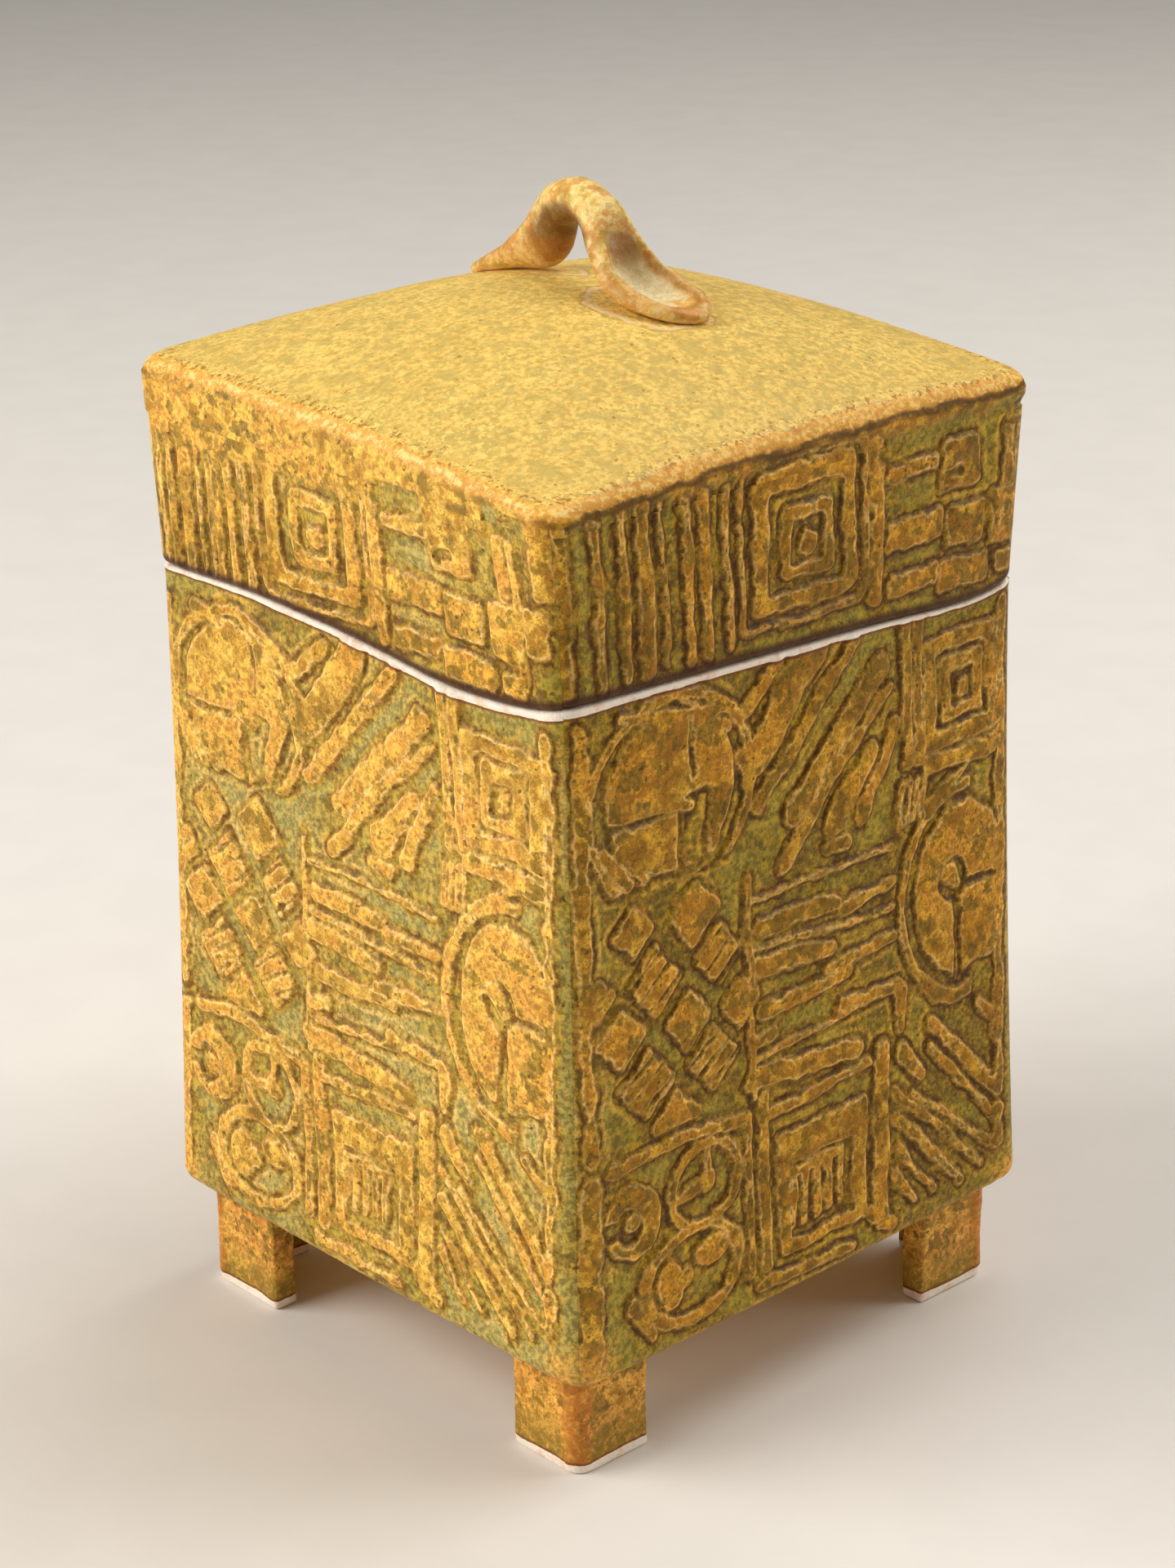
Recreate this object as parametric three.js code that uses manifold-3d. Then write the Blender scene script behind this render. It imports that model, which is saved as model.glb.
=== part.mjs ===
// A square lidded box of glazed stoneware, hand built from rolled slabs of clay.
// Four wall slabs stand round a floor slab, on four L-shaped feet. Flange strips inside the mouth keep the
// lid in place. The lid is four low walls under a domed slab, with a pulled loop handle. Millimetres, +Z up.
// The box stands on z = 0 with its centre line on the z axis, and its front faces -Y.
import * as THREE from "three";
import { mergeVertices } from "three/addons/utils/BufferGeometryUtils.js";
import Module from "manifold-3d";

// Slabs and the slip lines between them
const wallThickness = 5.5;
const floorThickness = 6;
const slipLine = 0.15; // left between two slabs that are luted together
const cornerRadius = 4; // outer upright corners

// Body
const footHeight = 18.7;
const bodyHeight = 113.8;
const rimHalf = 51.2; // half width over the walls, where the body and the lid meet
const bodyFootSpread = 2.5; // how much further out the walls stand at the bottom
const spreadPower = 1.6; // the spread gathers towards the bottom
const lowerEdgeRound = 3;
const rimRound = 0.8;

// Feet
const footSetback = 4.5; // from the outside of the walls to the outside of a foot
const footWing = 17;
const footThickness = 5.5;
const footCornerRadius = 4;
const footSoleRound = 0.8;
const splayedCorner = "front_left"; // the foot that was set askew
const splayAlong = 3; // towards +X
const splayOut = 2.4; // towards -Y

// Flange strips inside the mouth
const flangeThickness = 4;
const flangeDrop = 13; // below the rim
const flangeRise = 6.5; // above the rim
const flangeClearance = 0.8; // to the walls of the lid
const flangeChamfer = 1.2;

// Lid
const seamGap = 0.3;
const lidWallHeight = 26.7;
const lidOverhang = 0.1; // past the rim of the body
const lidFlare = 0.9; // how much further out the walls stand at the top
const lidEdgeHeight = 6.6; // of the top slab, at its corners
const lidEdgeRound = 3;
const domeRise = 12.6; // from the corners to the middle
const edgeBow = 2; // from a corner to the middle of an edge
const topSlabThickness = 6;

// Handle, measured along its own length from the middle of its arch
const handleX = -6;
const handleY = 5;
const handleTurn = -6; // degrees
const handleGap = 0.3; // to the lid
const tailLength = 30.5;
const padLength = 27.4;
const archHeight = 14.4; // of the middle of the coil over the lid
const coilHalfWidth = 4;
const coilHalfThickness = 3.5;
const thumbLength = 9; // half lengths of the hollow that a thumb pressed
const thumbWidth = 5;
const thumbDepth = 4.2;
const thumbReach = 18.4; // from the middle of the arch
const thumbLift = 5.7; // centre of the hollow over the lid
const thumbTilt = 24; // degrees
// Stops along the handle, as shares of the lengths above: along the tail (minus) or the pad, height of the
// middle, half width and half thickness
const handleStops = [
  { along: -1, height: 0.08, width: 0.4, thickness: 0.34 },
  { along: -0.89, height: 0.14, width: 1.1, thickness: 0.54 },
  { along: -0.67, height: 0.21, width: 1.55, thickness: 0.77 },
  { along: -0.46, height: 0.36, width: 1.4, thickness: 0.97 },
  { along: -0.32, height: 0.6, width: 1.15, thickness: 1.06 },
  { along: -0.2, height: 0.86, width: 1, thickness: 1.03 },
  { along: 0.01, height: 1, width: 1, thickness: 1 },
  { along: 0.23, height: 0.85, width: 1.1, thickness: 1 },
  { along: 0.36, height: 0.54, width: 1.3, thickness: 1 },
  { along: 0.46, height: 0.26, width: 1.65, thickness: 0.86 },
  { along: 0.65, height: 0.13, width: 1.95, thickness: 0.66 },
  { along: 0.86, height: 0.09, width: 1.65, thickness: 0.51 },
  { along: 1, height: 0.06, width: 0.6, thickness: 0.34 },
];

// The carved mould that the wall slabs were pressed on. Its forms below are in mould units: along a wall from
// its middle, and up from its lower edge.
const mouldUnit = 1;
const reliefHeight = 0.9; // of the forms over the ground
const plainBand = 1.2; // as high as the forms, along the rim and the lower edges
const lidMouldShifts = [-6, 0, -3.5, 2]; // how far each side of the lid lay along its mould

const bodyMould = {
  raised: [
    // A disc under an arched rim
    oval([-29.5, 95.5], [13.4, 13.2]),
    arc([-29.5, 94.7], [17.2, 16.2], 0.9, -45, 225),
    bar([-18.4, 95.3], [-21.4, 84.9], 1.5),
    // Rays
    bar([-13.5, 104.2], [-6, 110.3], 1),
    bar([-11.5, 95.9], [1.5, 111.3], 2.8),
    bar([-11, 87.7], [11, 110.3], 1.3),
    bar([-3, 84.7], [16.5, 103.5], 2.1),
    bar([-5, 76.5], [7, 89.9], 1.4),
    bar([7, 89.9], [18.5, 99.5], 1),
    bar([7, 81.1], [14, 89.2], 2.2),
    bar([13, 79.9], [20, 92.5], 1.4),
    // A square in a square
    plate([36.6, 96.1], [9.3, 9.5], 0, [6.3, 6.4]),
    plate([36.6, 96], [5.2, 5.3], 0, [3, 3]),
    plate([36.9, 95.6], [1.5, 1.4]),
    bar([23.4, 110.5], [23.6, 86], 1),
    bar([26.2, 110.5], [26.4, 86], 1),
    plate([36.6, 83.9], [9.6, 1.6]),
    // An oval under a bent rim
    oval([36.8, 60.1], [11, 15.6]),
    plate([41.6, 52.7], [4.6, 6.8]),
    arc([37.6, 59.7], [15.4, 19], 0.8, 85, 275),
    // A lattice of tiles
    plate([-38.4, 74.5], [3, 3], 42),
    plate([-25.4, 74.1], [4, 4], 42),
    plate([-41.6, 57.9], [3.6, 3.6], 42),
    plate([-27.4, 56.7], [3.6, 3.6], 42),
    plate([-15.4, 56.1], [3.1, 3.1], 42),
    plate([-34, 65.3], [3.9, 3.9], 42),
    plate([-20, 65.5], [3.5, 3.5], 42),
    plate([-36.6, 48.7], [3.9, 3.9], 42),
    plate([-22, 48.5], [3.8, 3.8], 42),
    plate([-30.6, 42.1], [4.2, 1.8]),
    // Level bars beside a post
    bar([-13.2, 76], [-12.8, 38], 0.7),
    bar([-10, 67.5], [6, 66.5], 1.6),
    bar([8, 65], [20, 65.8], 1.1),
    bar([-11, 60.5], [5, 59.1], 1.7),
    bar([5, 55.5], [20, 56.3], 1),
    bar([-10, 52.9], [9, 53.5], 1.4),
    bar([8, 47.9], [21, 46.7], 1.1),
    bar([-13, 41.3], [11, 38.7], 1.8),
    // Three rings
    oval([-40.6, 26.1], [6.4, 6.4], [3.2, 3.2]),
    oval([-24.3, 27.3], [8.2, 7.8], [6.6, 6.2]),
    bar([-30, 27], [-24, 27.5], 0.9),
    oval([-27.8, 12.5], [11.3, 8.8], [9.4, 6.9]),
    oval([-32.4, 12.4], [2.8, 4]),
    oval([-23.4, 15], [3.4, 2.4]),
    bar([-44, 36.5], [-31, 37.5], 1.1),
    bar([-31, 37.5], [-14.6, 35.3], 1),
    bar([-14.6, 35.3], [-14.2, 7.3], 0.8),
    // A comb in a frame
    plate([2.8, 18.7], [10.4, 11], 0, [7.2, 7]),
    bar([-3.6, 22.5], [-3.8, 13], 0.8),
    bar([1.2, 22.5], [1, 13], 0.8),
    bar([6, 22.5], [5.8, 13], 0.8),
    bar([-11, 37.3], [-10.6, 7.3], 1.2),
    bar([-10, 34.3], [14, 35.3], 0.9),
    bar([17, 36.3], [16.6, 5.9], 1.7),
    bar([-12, 3.9], [9, 3.1], 1),
    // Falling bars
    bar([30, 37.3], [45, 20.8], 1.2),
    bar([29.4, 33.3], [45, 15.1], 0.7),
    bar([20.6, 22.9], [36, 6.5], 1),
    bar([20.6, 27.7], [41, 7.5], 0.7),
    bar([22, 34.7], [26.5, 29.5], 1.4),
    bar([25, 25.9], [43.5, 10.1], 0.6),
    // Ridges beside the corners
    bar([-47.6, 109], [-47.4, 41], 1.2),
    bar([-47.4, 35], [-47, 6], 1.1),
    bar([46.4, 109], [46.6, 41], 1.1),
  ],
  // Slits in the disc and the oval
  slits: [
    bar([-43, 92.6], [-28, 92.6], 0.7),
    plate([-23.6, 88.7], [3.4, 5]),
    bar([36.5, 60.4], [50, 60.3], 0.8),
  ],
};

const lidMould = {
  raised: [
    // Upright bars
    bar([-50, 27], [-49.5, 2], 1.2),
    bar([-44, 27], [-43.5, 2], 1),
    bar([-38, 27], [-37.5, 2], 1),
    bar([-33.6, 27], [-33.1, 2], 1.9),
    bar([-24.6, 27], [-24.1, 2], 0.9),
    bar([-21, 27], [-20.5, 2], 1),
    bar([-15.6, 27], [-15.1, 2], 0.8),
    bar([15.6, 27], [16.1, 2], 1.3),
    // Squares round a boss
    plate([-0.2, 16.6], [11.2, 11.6], 0, [8.4, 8.7]),
    plate([0.4, 15.6], [5.6, 6], 0, [3.7, 4]),
    plate([0.6, 15], [1.7, 1.7]),
    // Blocks
    plate([34.5, 20.8], [4.4, 4]),
    plate([24.6, 11.4], [6.2, 2.2]),
    plate([36.4, 9.8], [4.3, 3.2]),
    plate([45.6, 9.8], [3.1, 4.2]),
    plate([24.6, 3], [5.5, 1.6]),
    plate([36.4, 2.6], [5.5, 1.8]),
    plate([23.6, 21.8], [5.5, 1.2]),
  ],
  slits: [],
};

// How finely the round parts are stepped
const cornerSteps = 3;
const edgeSteps = 3;
const profileLevels = 6;
const sideSteps = 6;
const domeRings = 7;
const ovalSteps = 20;
const sectionPoints = 16;
const handleSteps = 34;

// Levels and widths that follow from the sizes above
const rimLevel = footHeight + bodyHeight;
const floorTop = footHeight + floorThickness;
const lidRimLevel = rimLevel + seamGap;
const lidRimHalf = rimHalf + lidOverhang;
const lidSeat = lidRimLevel + lidWallHeight;
const lidShoulder = lidSeat + lidEdgeHeight;
const lidTopHalf = lidRimHalf + lidFlare;

const glaze = new THREE.MeshStandardMaterial({ color: 0xb98a3a, roughness: 0.45, metalness: 0 });
const topGlaze = new THREE.MeshStandardMaterial({ color: 0xb79a4b, roughness: 0.5, metalness: 0 });
const clay = new THREE.MeshStandardMaterial({ color: 0xe0c7ad, roughness: 0.85, metalness: 0 });

const wasm = await Module();
wasm.setup();

// Half width over the body's walls at a height: straight near the rim, spreading towards the bottom.
function bodyHalf(z) {
  const down = THREE.MathUtils.clamp((rimLevel - z) / bodyHeight, 0, 1);
  return rimHalf + bodyFootSpread * down ** spreadPower;
}

// Half width over the lid's walls at a height.
function lidHalf(z) {
  return lidRimHalf + (lidFlare * (z - lidRimLevel)) / lidWallHeight;
}

// Height of the lid's dome over its corners.
function domeHeight(x, y) {
  const acrossX = 1 - (x / lidTopHalf) ** 2;
  const acrossY = 1 - (y / lidTopHalf) ** 2;
  return edgeBow * (acrossX + acrossY) + (domeRise - 2 * edgeBow) * acrossX * acrossY;
}

// A closed solid through rings of points, each ring with as many points as the next, ends capped.
function solidThroughRings(rings) {
  const count = rings[0].length;
  const positions = rings.flat().flatMap((point) => point.toArray());
  const indices = [];
  for (let ring = 0; ring < rings.length - 1; ring++) {
    for (let i = 0; i < count; i++) {
      const here = ring * count + i;
      const next = ring * count + ((i + 1) % count);
      indices.push(here, next, next + count, here, next + count, here + count);
    }
  }
  const last = (rings.length - 1) * count;
  for (const [a, b, c] of capFaces(rings[0])) indices.push(a, c, b);
  for (const [a, b, c] of capFaces(rings.at(-1))) indices.push(last + a, last + b, last + c);
  const geometry = new THREE.BufferGeometry();
  geometry.setAttribute("position", new THREE.Float32BufferAttribute(positions, 3));
  geometry.setIndex(indices);
  return geometry;
}

// Triangles that cap one ring: a triangulated outline on a level ring, and a fan on any other, which is
// always convex.
function capFaces(ring) {
  const level = ring.every((point) => point.z === ring[0].z);
  if (level) return THREE.ShapeUtils.triangulateShape(ring, []);
  return ring.slice(2).map((_, i) => [0, i + 1, i + 2]);
}

// The plan of one wall slab, mitred at 45 degrees at both ends, its outer corners round. It faces -Y.
function wallPlan(outerHalf, innerHalf, z) {
  const centre = outerHalf - cornerRadius;
  const mitre = slipLine / Math.SQRT2;
  const trim = Math.asin(mitre / (Math.SQRT2 * cornerRadius));
  const plan = new THREE.Path();
  plan.moveTo(innerHalf - mitre, -innerHalf);
  plan.lineTo(-(innerHalf - mitre), -innerHalf);
  plan.absarc(-centre, -centre, cornerRadius, (-3 * Math.PI) / 4 + trim, -Math.PI / 2, false);
  plan.absarc(centre, -centre, cornerRadius, -Math.PI / 2, -Math.PI / 4 - trim, false);
  return plan.getPoints(cornerSteps).map((point) => new THREE.Vector3(point.x, point.y, z));
}

// Levels of an upright slab, with how far its outer face is drawn in at each: a round of one radius at the
// bottom and of another at the top.
function slabLevels(bottom, top, bottomRound, topRound) {
  const levels = [];
  for (let i = 0; i <= edgeSteps; i++) {
    const angle = (i / edgeSteps) * (Math.PI / 2);
    const rise = bottomRound * (1 - Math.cos(angle));
    levels.push({ z: bottom + rise, inset: bottomRound * (1 - Math.sin(angle)) });
  }
  for (let i = 1; i < profileLevels; i++) {
    const span = top - topRound - bottom - bottomRound;
    levels.push({ z: bottom + bottomRound + (span * i) / profileLevels, inset: 0 });
  }
  for (let i = edgeSteps; i >= 0; i--) {
    const angle = (i / edgeSteps) * (Math.PI / 2);
    const drop = topRound * (1 - Math.cos(angle));
    levels.push({ z: top - drop, inset: topRound * (1 - Math.sin(angle)) });
  }
  return levels;
}

// One plain wall slab, its outer face drawn in from the wall's full width.
function wallSlab({ halfAt, bottom, top, bottomRound, topRound }, drawnIn) {
  const rings = slabLevels(bottom, top, bottomRound, topRound).map(({ z, inset }) =>
    wallPlan(halfAt(z) - inset - drawnIn, halfAt(z) - wallThickness, z),
  );
  return solidThroughRings(rings);
}

// Forms of the mould, as outlines. A well is a hole of the same shape, round the same middle.
function bar(from, to, half) {
  const start = new THREE.Vector2(...from);
  const end = new THREE.Vector2(...to);
  const along = end.clone().sub(start).setLength(half);
  const across = new THREE.Vector2(-along.y, along.x);
  start.sub(along);
  end.add(along);
  return new THREE.Shape([
    start.clone().sub(across),
    end.clone().sub(across),
    end.clone().add(across),
    start.clone().add(across),
  ]);
}

function plate(at, half, turn = 0, well = null) {
  const middle = new THREE.Vector2(...at);
  const corners = ([width, height]) =>
    [
      new THREE.Vector2(-width, -height),
      new THREE.Vector2(width, -height),
      new THREE.Vector2(width, height),
      new THREE.Vector2(-width, height),
    ].map((corner) => corner.rotateAround(new THREE.Vector2(), THREE.MathUtils.degToRad(turn)).add(middle));
  const shape = new THREE.Shape(corners(half));
  if (well) shape.holes.push(new THREE.Path(corners(well)));
  return shape;
}

function oval([x, up], [width, height], well = null) {
  const shape = new THREE.Shape();
  shape.absellipse(x, up, width, height, 0, 2 * Math.PI, false, 0);
  if (well) {
    const hole = new THREE.Path();
    hole.absellipse(x, up, well[0], well[1], 0, 2 * Math.PI, true, 0);
    shape.holes.push(hole);
  }
  return shape;
}

// A stretch of an oval ring, between two angles in degrees.
function arc([x, up], [width, height], half, startAngle, endAngle) {
  const start = THREE.MathUtils.degToRad(startAngle);
  const end = THREE.MathUtils.degToRad(endAngle);
  const shape = new THREE.Shape();
  shape.absellipse(x, up, width + half, height + half, start, end, false, 0);
  shape.absellipse(x, up, width - half, height - half, end, start, true, 0);
  return shape;
}

// Forms of a mould as solids, which start inside the front wall's slab and end past its outer face.
function standing(shapes, half, shift, level) {
  const settings = { depth: wallThickness + bodyFootSpread, bevelEnabled: false, curveSegments: ovalSteps };
  const solids = shapes.map((shape) => {
    const form = new THREE.ExtrudeGeometry(shape, settings);
    form.scale(mouldUnit, mouldUnit, 1).rotateX(Math.PI / 2);
    return solid(form.translate(shift, -(half - wallThickness / 2), level));
  });
  return wasm.Manifold.union(solids);
}

// A wall slab with the mould's forms raised over its ground, and plain bands along its edges.
function pressedWall(slab, mould, shift = 0) {
  const half = slab.halfAt(slab.top);
  const full = solid(wallSlab(slab, 0));
  const band = plate([0, 0], [2 * half, plainBand]);
  let forms = standing(mould.raised, half, shift, slab.bottom);
  if (mould.slits.length > 0) forms = forms.subtract(standing(mould.slits, half, shift, slab.bottom));
  forms = forms.add(standing([band], half, 0, slab.bottom));
  if (slab.topRound > 0) forms = forms.add(standing([band], half, 0, slab.top));
  return geometryOf(solid(wallSlab(slab, reliefHeight)).add(forms.intersect(full)));
}

// The floor fills the space between the walls.
function floorSlab() {
  const half = bodyHalf(floorTop) - wallThickness - slipLine;
  const corners = [
    [-half, -half],
    [half, -half],
    [half, half],
    [-half, half],
  ];
  const rings = [footHeight, floorTop].map((z) => corners.map(([x, y]) => new THREE.Vector3(x, y, z)));
  return solidThroughRings(rings);
}

// One L-shaped foot, under the corner at +X and -Y. Its sole is flat and its lower edge slightly round.
function foot() {
  const outer = bodyHalf(footHeight) - footSetback;
  const levels = [footSoleRound, footSoleRound / 3, 0, 0];
  const heights = [0, footSoleRound / 3, footSoleRound, footHeight];
  const rings = levels.map((inset, i) => footPlan(outer, inset, heights[i]));
  return solidThroughRings(rings);
}

function footPlan(outer, inset, z) {
  const out = outer - inset;
  const end = outer - footWing + inset;
  const inner = outer - footThickness + inset;
  const radius = footCornerRadius - inset;
  const plan = new THREE.Path();
  plan.moveTo(inner, -inner);
  plan.lineTo(end, -inner);
  plan.lineTo(end, -out);
  plan.absarc(out - radius, -out + radius, radius, -Math.PI / 2, 0, false);
  plan.lineTo(out, -end);
  plan.lineTo(inner, -end);
  return plan.getPoints(cornerSteps).map((point) => new THREE.Vector3(point.x, point.y, z));
}

// One flange strip, luted to the inside of the front wall. Above the rim it steps in to clear the lid.
function flangeStrip() {
  const wallFace = (z) => bodyHalf(z) - wallThickness - slipLine;
  const lidFace = lidRimHalf - wallThickness - flangeClearance;
  const inside = bodyHalf(rimLevel) - wallThickness - flangeThickness;
  const top = rimLevel + flangeRise;
  const levels = [
    { z: rimLevel - flangeDrop, face: wallFace(rimLevel - flangeDrop) },
    { z: rimLevel - flangeClearance, face: wallFace(rimLevel) },
    { z: rimLevel, face: lidFace },
    { z: top - flangeChamfer, face: lidFace },
    { z: top, face: lidFace - flangeChamfer },
  ];
  const mitre = slipLine / Math.SQRT2;
  const rings = levels.map(({ z, face }) => [
    new THREE.Vector3(-(inside - mitre), -inside, z),
    new THREE.Vector3(-(face - mitre), -face, z),
    new THREE.Vector3(face - mitre, -face, z),
    new THREE.Vector3(inside - mitre, -inside, z),
  ]);
  return solidThroughRings(rings);
}

// A square ring with round corners, as points that match from one size of ring to the next.
function squareRing(half, heightAt) {
  const radius = Math.min(cornerRadius, half / 3);
  const points = [];
  for (let side = 0; side < 4; side++) {
    const turn = (side * Math.PI) / 2;
    const straight = half - radius;
    for (let i = 0; i < sideSteps; i++) {
      const along = -straight + (2 * straight * i) / sideSteps;
      points.push(new THREE.Vector2(along, -half).rotateAround(new THREE.Vector2(), turn));
    }
    for (let i = 0; i < cornerSteps; i++) {
      const angle = -Math.PI / 2 + ((Math.PI / 2) * i) / cornerSteps;
      const corner = new THREE.Vector2(Math.cos(angle), Math.sin(angle)).multiplyScalar(radius);
      corner.add(new THREE.Vector2(straight, -straight));
      points.push(corner.rotateAround(new THREE.Vector2(), turn));
    }
  }
  return points.map(({ x, y }) => new THREE.Vector3(x, y, heightAt(x, y)));
}

// The domed top slab: rings from the middle of its underside, out along the seat, round the edge, and up over
// the dome.
function lidTopSlab(lift = 0) {
  const hollowHalf = lidHalf(lidSeat) - wallThickness - slipLine;
  const hollowRise = lidEdgeHeight + domeRise - topSlabThickness;
  const underside = (x, y) => {
    const acrossX = Math.max(0, 1 - (x / hollowHalf) ** 2);
    const acrossY = Math.max(0, 1 - (y / hollowHalf) ** 2);
    return lidSeat + hollowRise * Math.sqrt(acrossX * acrossY);
  };
  const rings = [];
  for (let i = 1; i <= domeRings; i++) {
    const reach = Math.sin(((i / domeRings) * Math.PI) / 2);
    rings.push(squareRing(hollowHalf * reach, underside));
  }
  rings.push(squareRing(lidTopHalf, () => lidSeat));
  for (let i = 0; i <= edgeSteps; i++) {
    const angle = (i / edgeSteps) * (Math.PI / 2);
    const inset = lidEdgeRound * (1 - Math.cos(angle));
    const drop = lidEdgeRound * (1 - Math.sin(angle));
    rings.push(squareRing(lidTopHalf - inset, (x, y) => lidShoulder + lift + domeHeight(x, y) - drop));
  }
  for (let i = domeRings - 1; i >= 1; i--) {
    const half = ((lidTopHalf - lidEdgeRound) * i) / domeRings;
    rings.push(squareRing(half, (x, y) => lidShoulder + lift + domeHeight(x, y)));
  }
  return solidThroughRings(rings);
}

// The handle: an oval coil that rises from a flat tail, arches over and spreads into a pad, which a thumb
// hollowed.
function handle() {
  const turn = THREE.MathUtils.degToRad(handleTurn);
  const place = new THREE.Matrix4().makeRotationZ(turn).setPosition(handleX, handleY, 0);
  const onLid = (along, height) => {
    const spot = new THREE.Vector3(along, 0, 0).applyMatrix4(place);
    return new THREE.Vector3(along, 0, lidShoulder + domeHeight(spot.x, spot.y) + height);
  };
  const middles = handleStops.map((stop) => {
    const length = stop.along < 0 ? tailLength : padLength;
    return onLid(stop.along * length, stop.height * archHeight);
  });
  const route = new THREE.CatmullRomCurve3(middles);
  const widths = handleStops.map((stop) => new THREE.Vector2(stop.width, stop.thickness));
  const sections = new THREE.SplineCurve(widths);
  const sideways = new THREE.Vector3(0, 1, 0);
  const rings = [];
  for (let i = 0; i <= handleSteps; i++) {
    const centre = route.getPoint(i / handleSteps);
    const outwards = new THREE.Vector3().crossVectors(route.getTangent(i / handleSteps), sideways);
    const section = sections.getPoint(i / handleSteps);
    const ring = [];
    for (let k = 0; k < sectionPoints; k++) {
      const angle = (2 * Math.PI * k) / sectionPoints;
      const point = centre.clone();
      point.addScaledVector(sideways, coilHalfWidth * section.x * Math.cos(angle));
      point.addScaledVector(outwards, coilHalfThickness * section.y * Math.sin(angle));
      ring.push(point);
    }
    rings.push(ring);
  }
  const coil = solidThroughRings(rings).applyMatrix4(place);
  const thumb = new THREE.SphereGeometry(1, 20, 14);
  thumb.scale(thumbLength, thumbWidth, thumbDepth);
  thumb.rotateY(THREE.MathUtils.degToRad(thumbTilt));
  const thumbSpot = onLid(thumbReach, thumbLift);
  thumb.translate(thumbSpot.x, thumbSpot.y, thumbSpot.z).applyMatrix4(place);
  const cut = solid(coil).subtract(solid(thumb)).subtract(solid(lidTopSlab(handleGap)));
  const largest = cut.decompose().sort((a, b) => b.volume() - a.volume())[0];
  return geometryOf(largest);
}

function solid(geometry) {
  const bare = geometry.clone();
  for (const name of ["normal", "uv"]) bare.deleteAttribute(name);
  const merged = mergeVertices(bare, 1e-4);
  return new wasm.Manifold(
    new wasm.Mesh({
      numProp: 3,
      vertProperties: new Float32Array(merged.attributes.position.array),
      triVerts: new Uint32Array(merged.index.array),
    }),
  );
}

function geometryOf(made) {
  const mesh = made.getMesh();
  const geometry = new THREE.BufferGeometry();
  geometry.setAttribute("position", new THREE.Float32BufferAttribute(mesh.vertProperties, 3));
  geometry.setIndex(new THREE.Uint32BufferAttribute(mesh.triVerts, 1));
  return geometry;
}

function piece(name, geometry, material, quarterTurns = 0) {
  const shaded = geometry.toNonIndexed();
  shaded.computeVertexNormals();
  const mesh = new THREE.Mesh(shaded, material);
  mesh.name = name;
  mesh.rotation.z = (quarterTurns * Math.PI) / 2;
  return mesh;
}

const box = new THREE.Group();
const body = new THREE.Group();
const lid = new THREE.Group();
box.add(body, lid);

const sides = ["front", "right", "back", "left"]; // each a quarter turn on from the last
const corners = ["front_right", "back_right", "back_left", "front_left"];

const bodySlab = {
  halfAt: bodyHalf,
  bottom: footHeight,
  top: rimLevel,
  bottomRound: lowerEdgeRound,
  topRound: rimRound,
};
const lidSlab = { halfAt: lidHalf, bottom: lidRimLevel, top: lidSeat, bottomRound: rimRound, topRound: 0 };

const bodyWall = pressedWall(bodySlab, bodyMould);

body.add(piece("floor_slab", floorSlab(), glaze));
sides.forEach((side, turns) => {
  body.add(piece(`${side}_wall`, bodyWall, glaze, turns));
  body.add(piece(`${side}_flange`, flangeStrip(), clay, turns));
  lid.add(piece(`lid_${side}_wall`, pressedWall(lidSlab, lidMould, lidMouldShifts[turns]), glaze, turns));
});
corners.forEach((corner, turns) => {
  const stand = piece(`${corner}_foot`, foot(), glaze, turns);
  if (corner === splayedCorner) stand.position.set(splayAlong, -splayOut, 0);
  body.add(stand);
});
lid.add(piece("lid_top", lidTopSlab(), topGlaze));
lid.add(piece("handle", handle(), glaze));

export default box;
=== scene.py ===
# A square lidded box of stoneware, with moulded patterns on its walls and an ochre and olive glaze.
# Lengths in this script are millimetres, until each mesh is made in metres.
import math

import bpy
import numpy as np
from mathutils import Matrix, Vector


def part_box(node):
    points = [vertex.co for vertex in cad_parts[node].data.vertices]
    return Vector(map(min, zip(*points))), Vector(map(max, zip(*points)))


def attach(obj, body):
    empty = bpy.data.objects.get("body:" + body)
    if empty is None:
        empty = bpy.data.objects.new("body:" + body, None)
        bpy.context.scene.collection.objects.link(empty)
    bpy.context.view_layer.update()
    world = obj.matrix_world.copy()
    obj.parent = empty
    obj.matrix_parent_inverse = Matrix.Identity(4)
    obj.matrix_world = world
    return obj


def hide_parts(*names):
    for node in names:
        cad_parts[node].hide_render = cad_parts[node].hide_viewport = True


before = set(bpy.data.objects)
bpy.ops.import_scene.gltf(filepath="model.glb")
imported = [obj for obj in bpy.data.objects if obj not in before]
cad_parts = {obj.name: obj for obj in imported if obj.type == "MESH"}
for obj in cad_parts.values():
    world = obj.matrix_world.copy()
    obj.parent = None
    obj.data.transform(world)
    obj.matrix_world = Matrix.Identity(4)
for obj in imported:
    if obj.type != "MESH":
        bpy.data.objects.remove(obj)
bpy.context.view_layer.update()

# The camera
# It stands where the photograph was taken from: it faces the corner between the front and the right wall,
# and looks down on the lid by about 21 degrees.
photo_height_px = 1920
focal_length_px = 4301
sensor_height = 36
camera_turn = math.radians(48.396)
camera_tilt = math.radians(21.453)
camera_roll = math.radians(-1.181)
camera_place = (0.4149, -0.3688, 0.3115)  # metres
view_back = Vector((
    math.sin(camera_turn) * math.cos(camera_tilt),
    -math.cos(camera_turn) * math.cos(camera_tilt),
    math.sin(camera_tilt),
))
level_right = Vector((math.cos(camera_turn), math.sin(camera_turn), 0))
level_up = view_back.cross(level_right)
view_right = level_right * math.cos(camera_roll) + level_up * math.sin(camera_roll)
view_up = level_up * math.cos(camera_roll) - level_right * math.sin(camera_roll)
camera = bpy.data.objects.new("camera", bpy.data.cameras.new("camera"))
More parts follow.
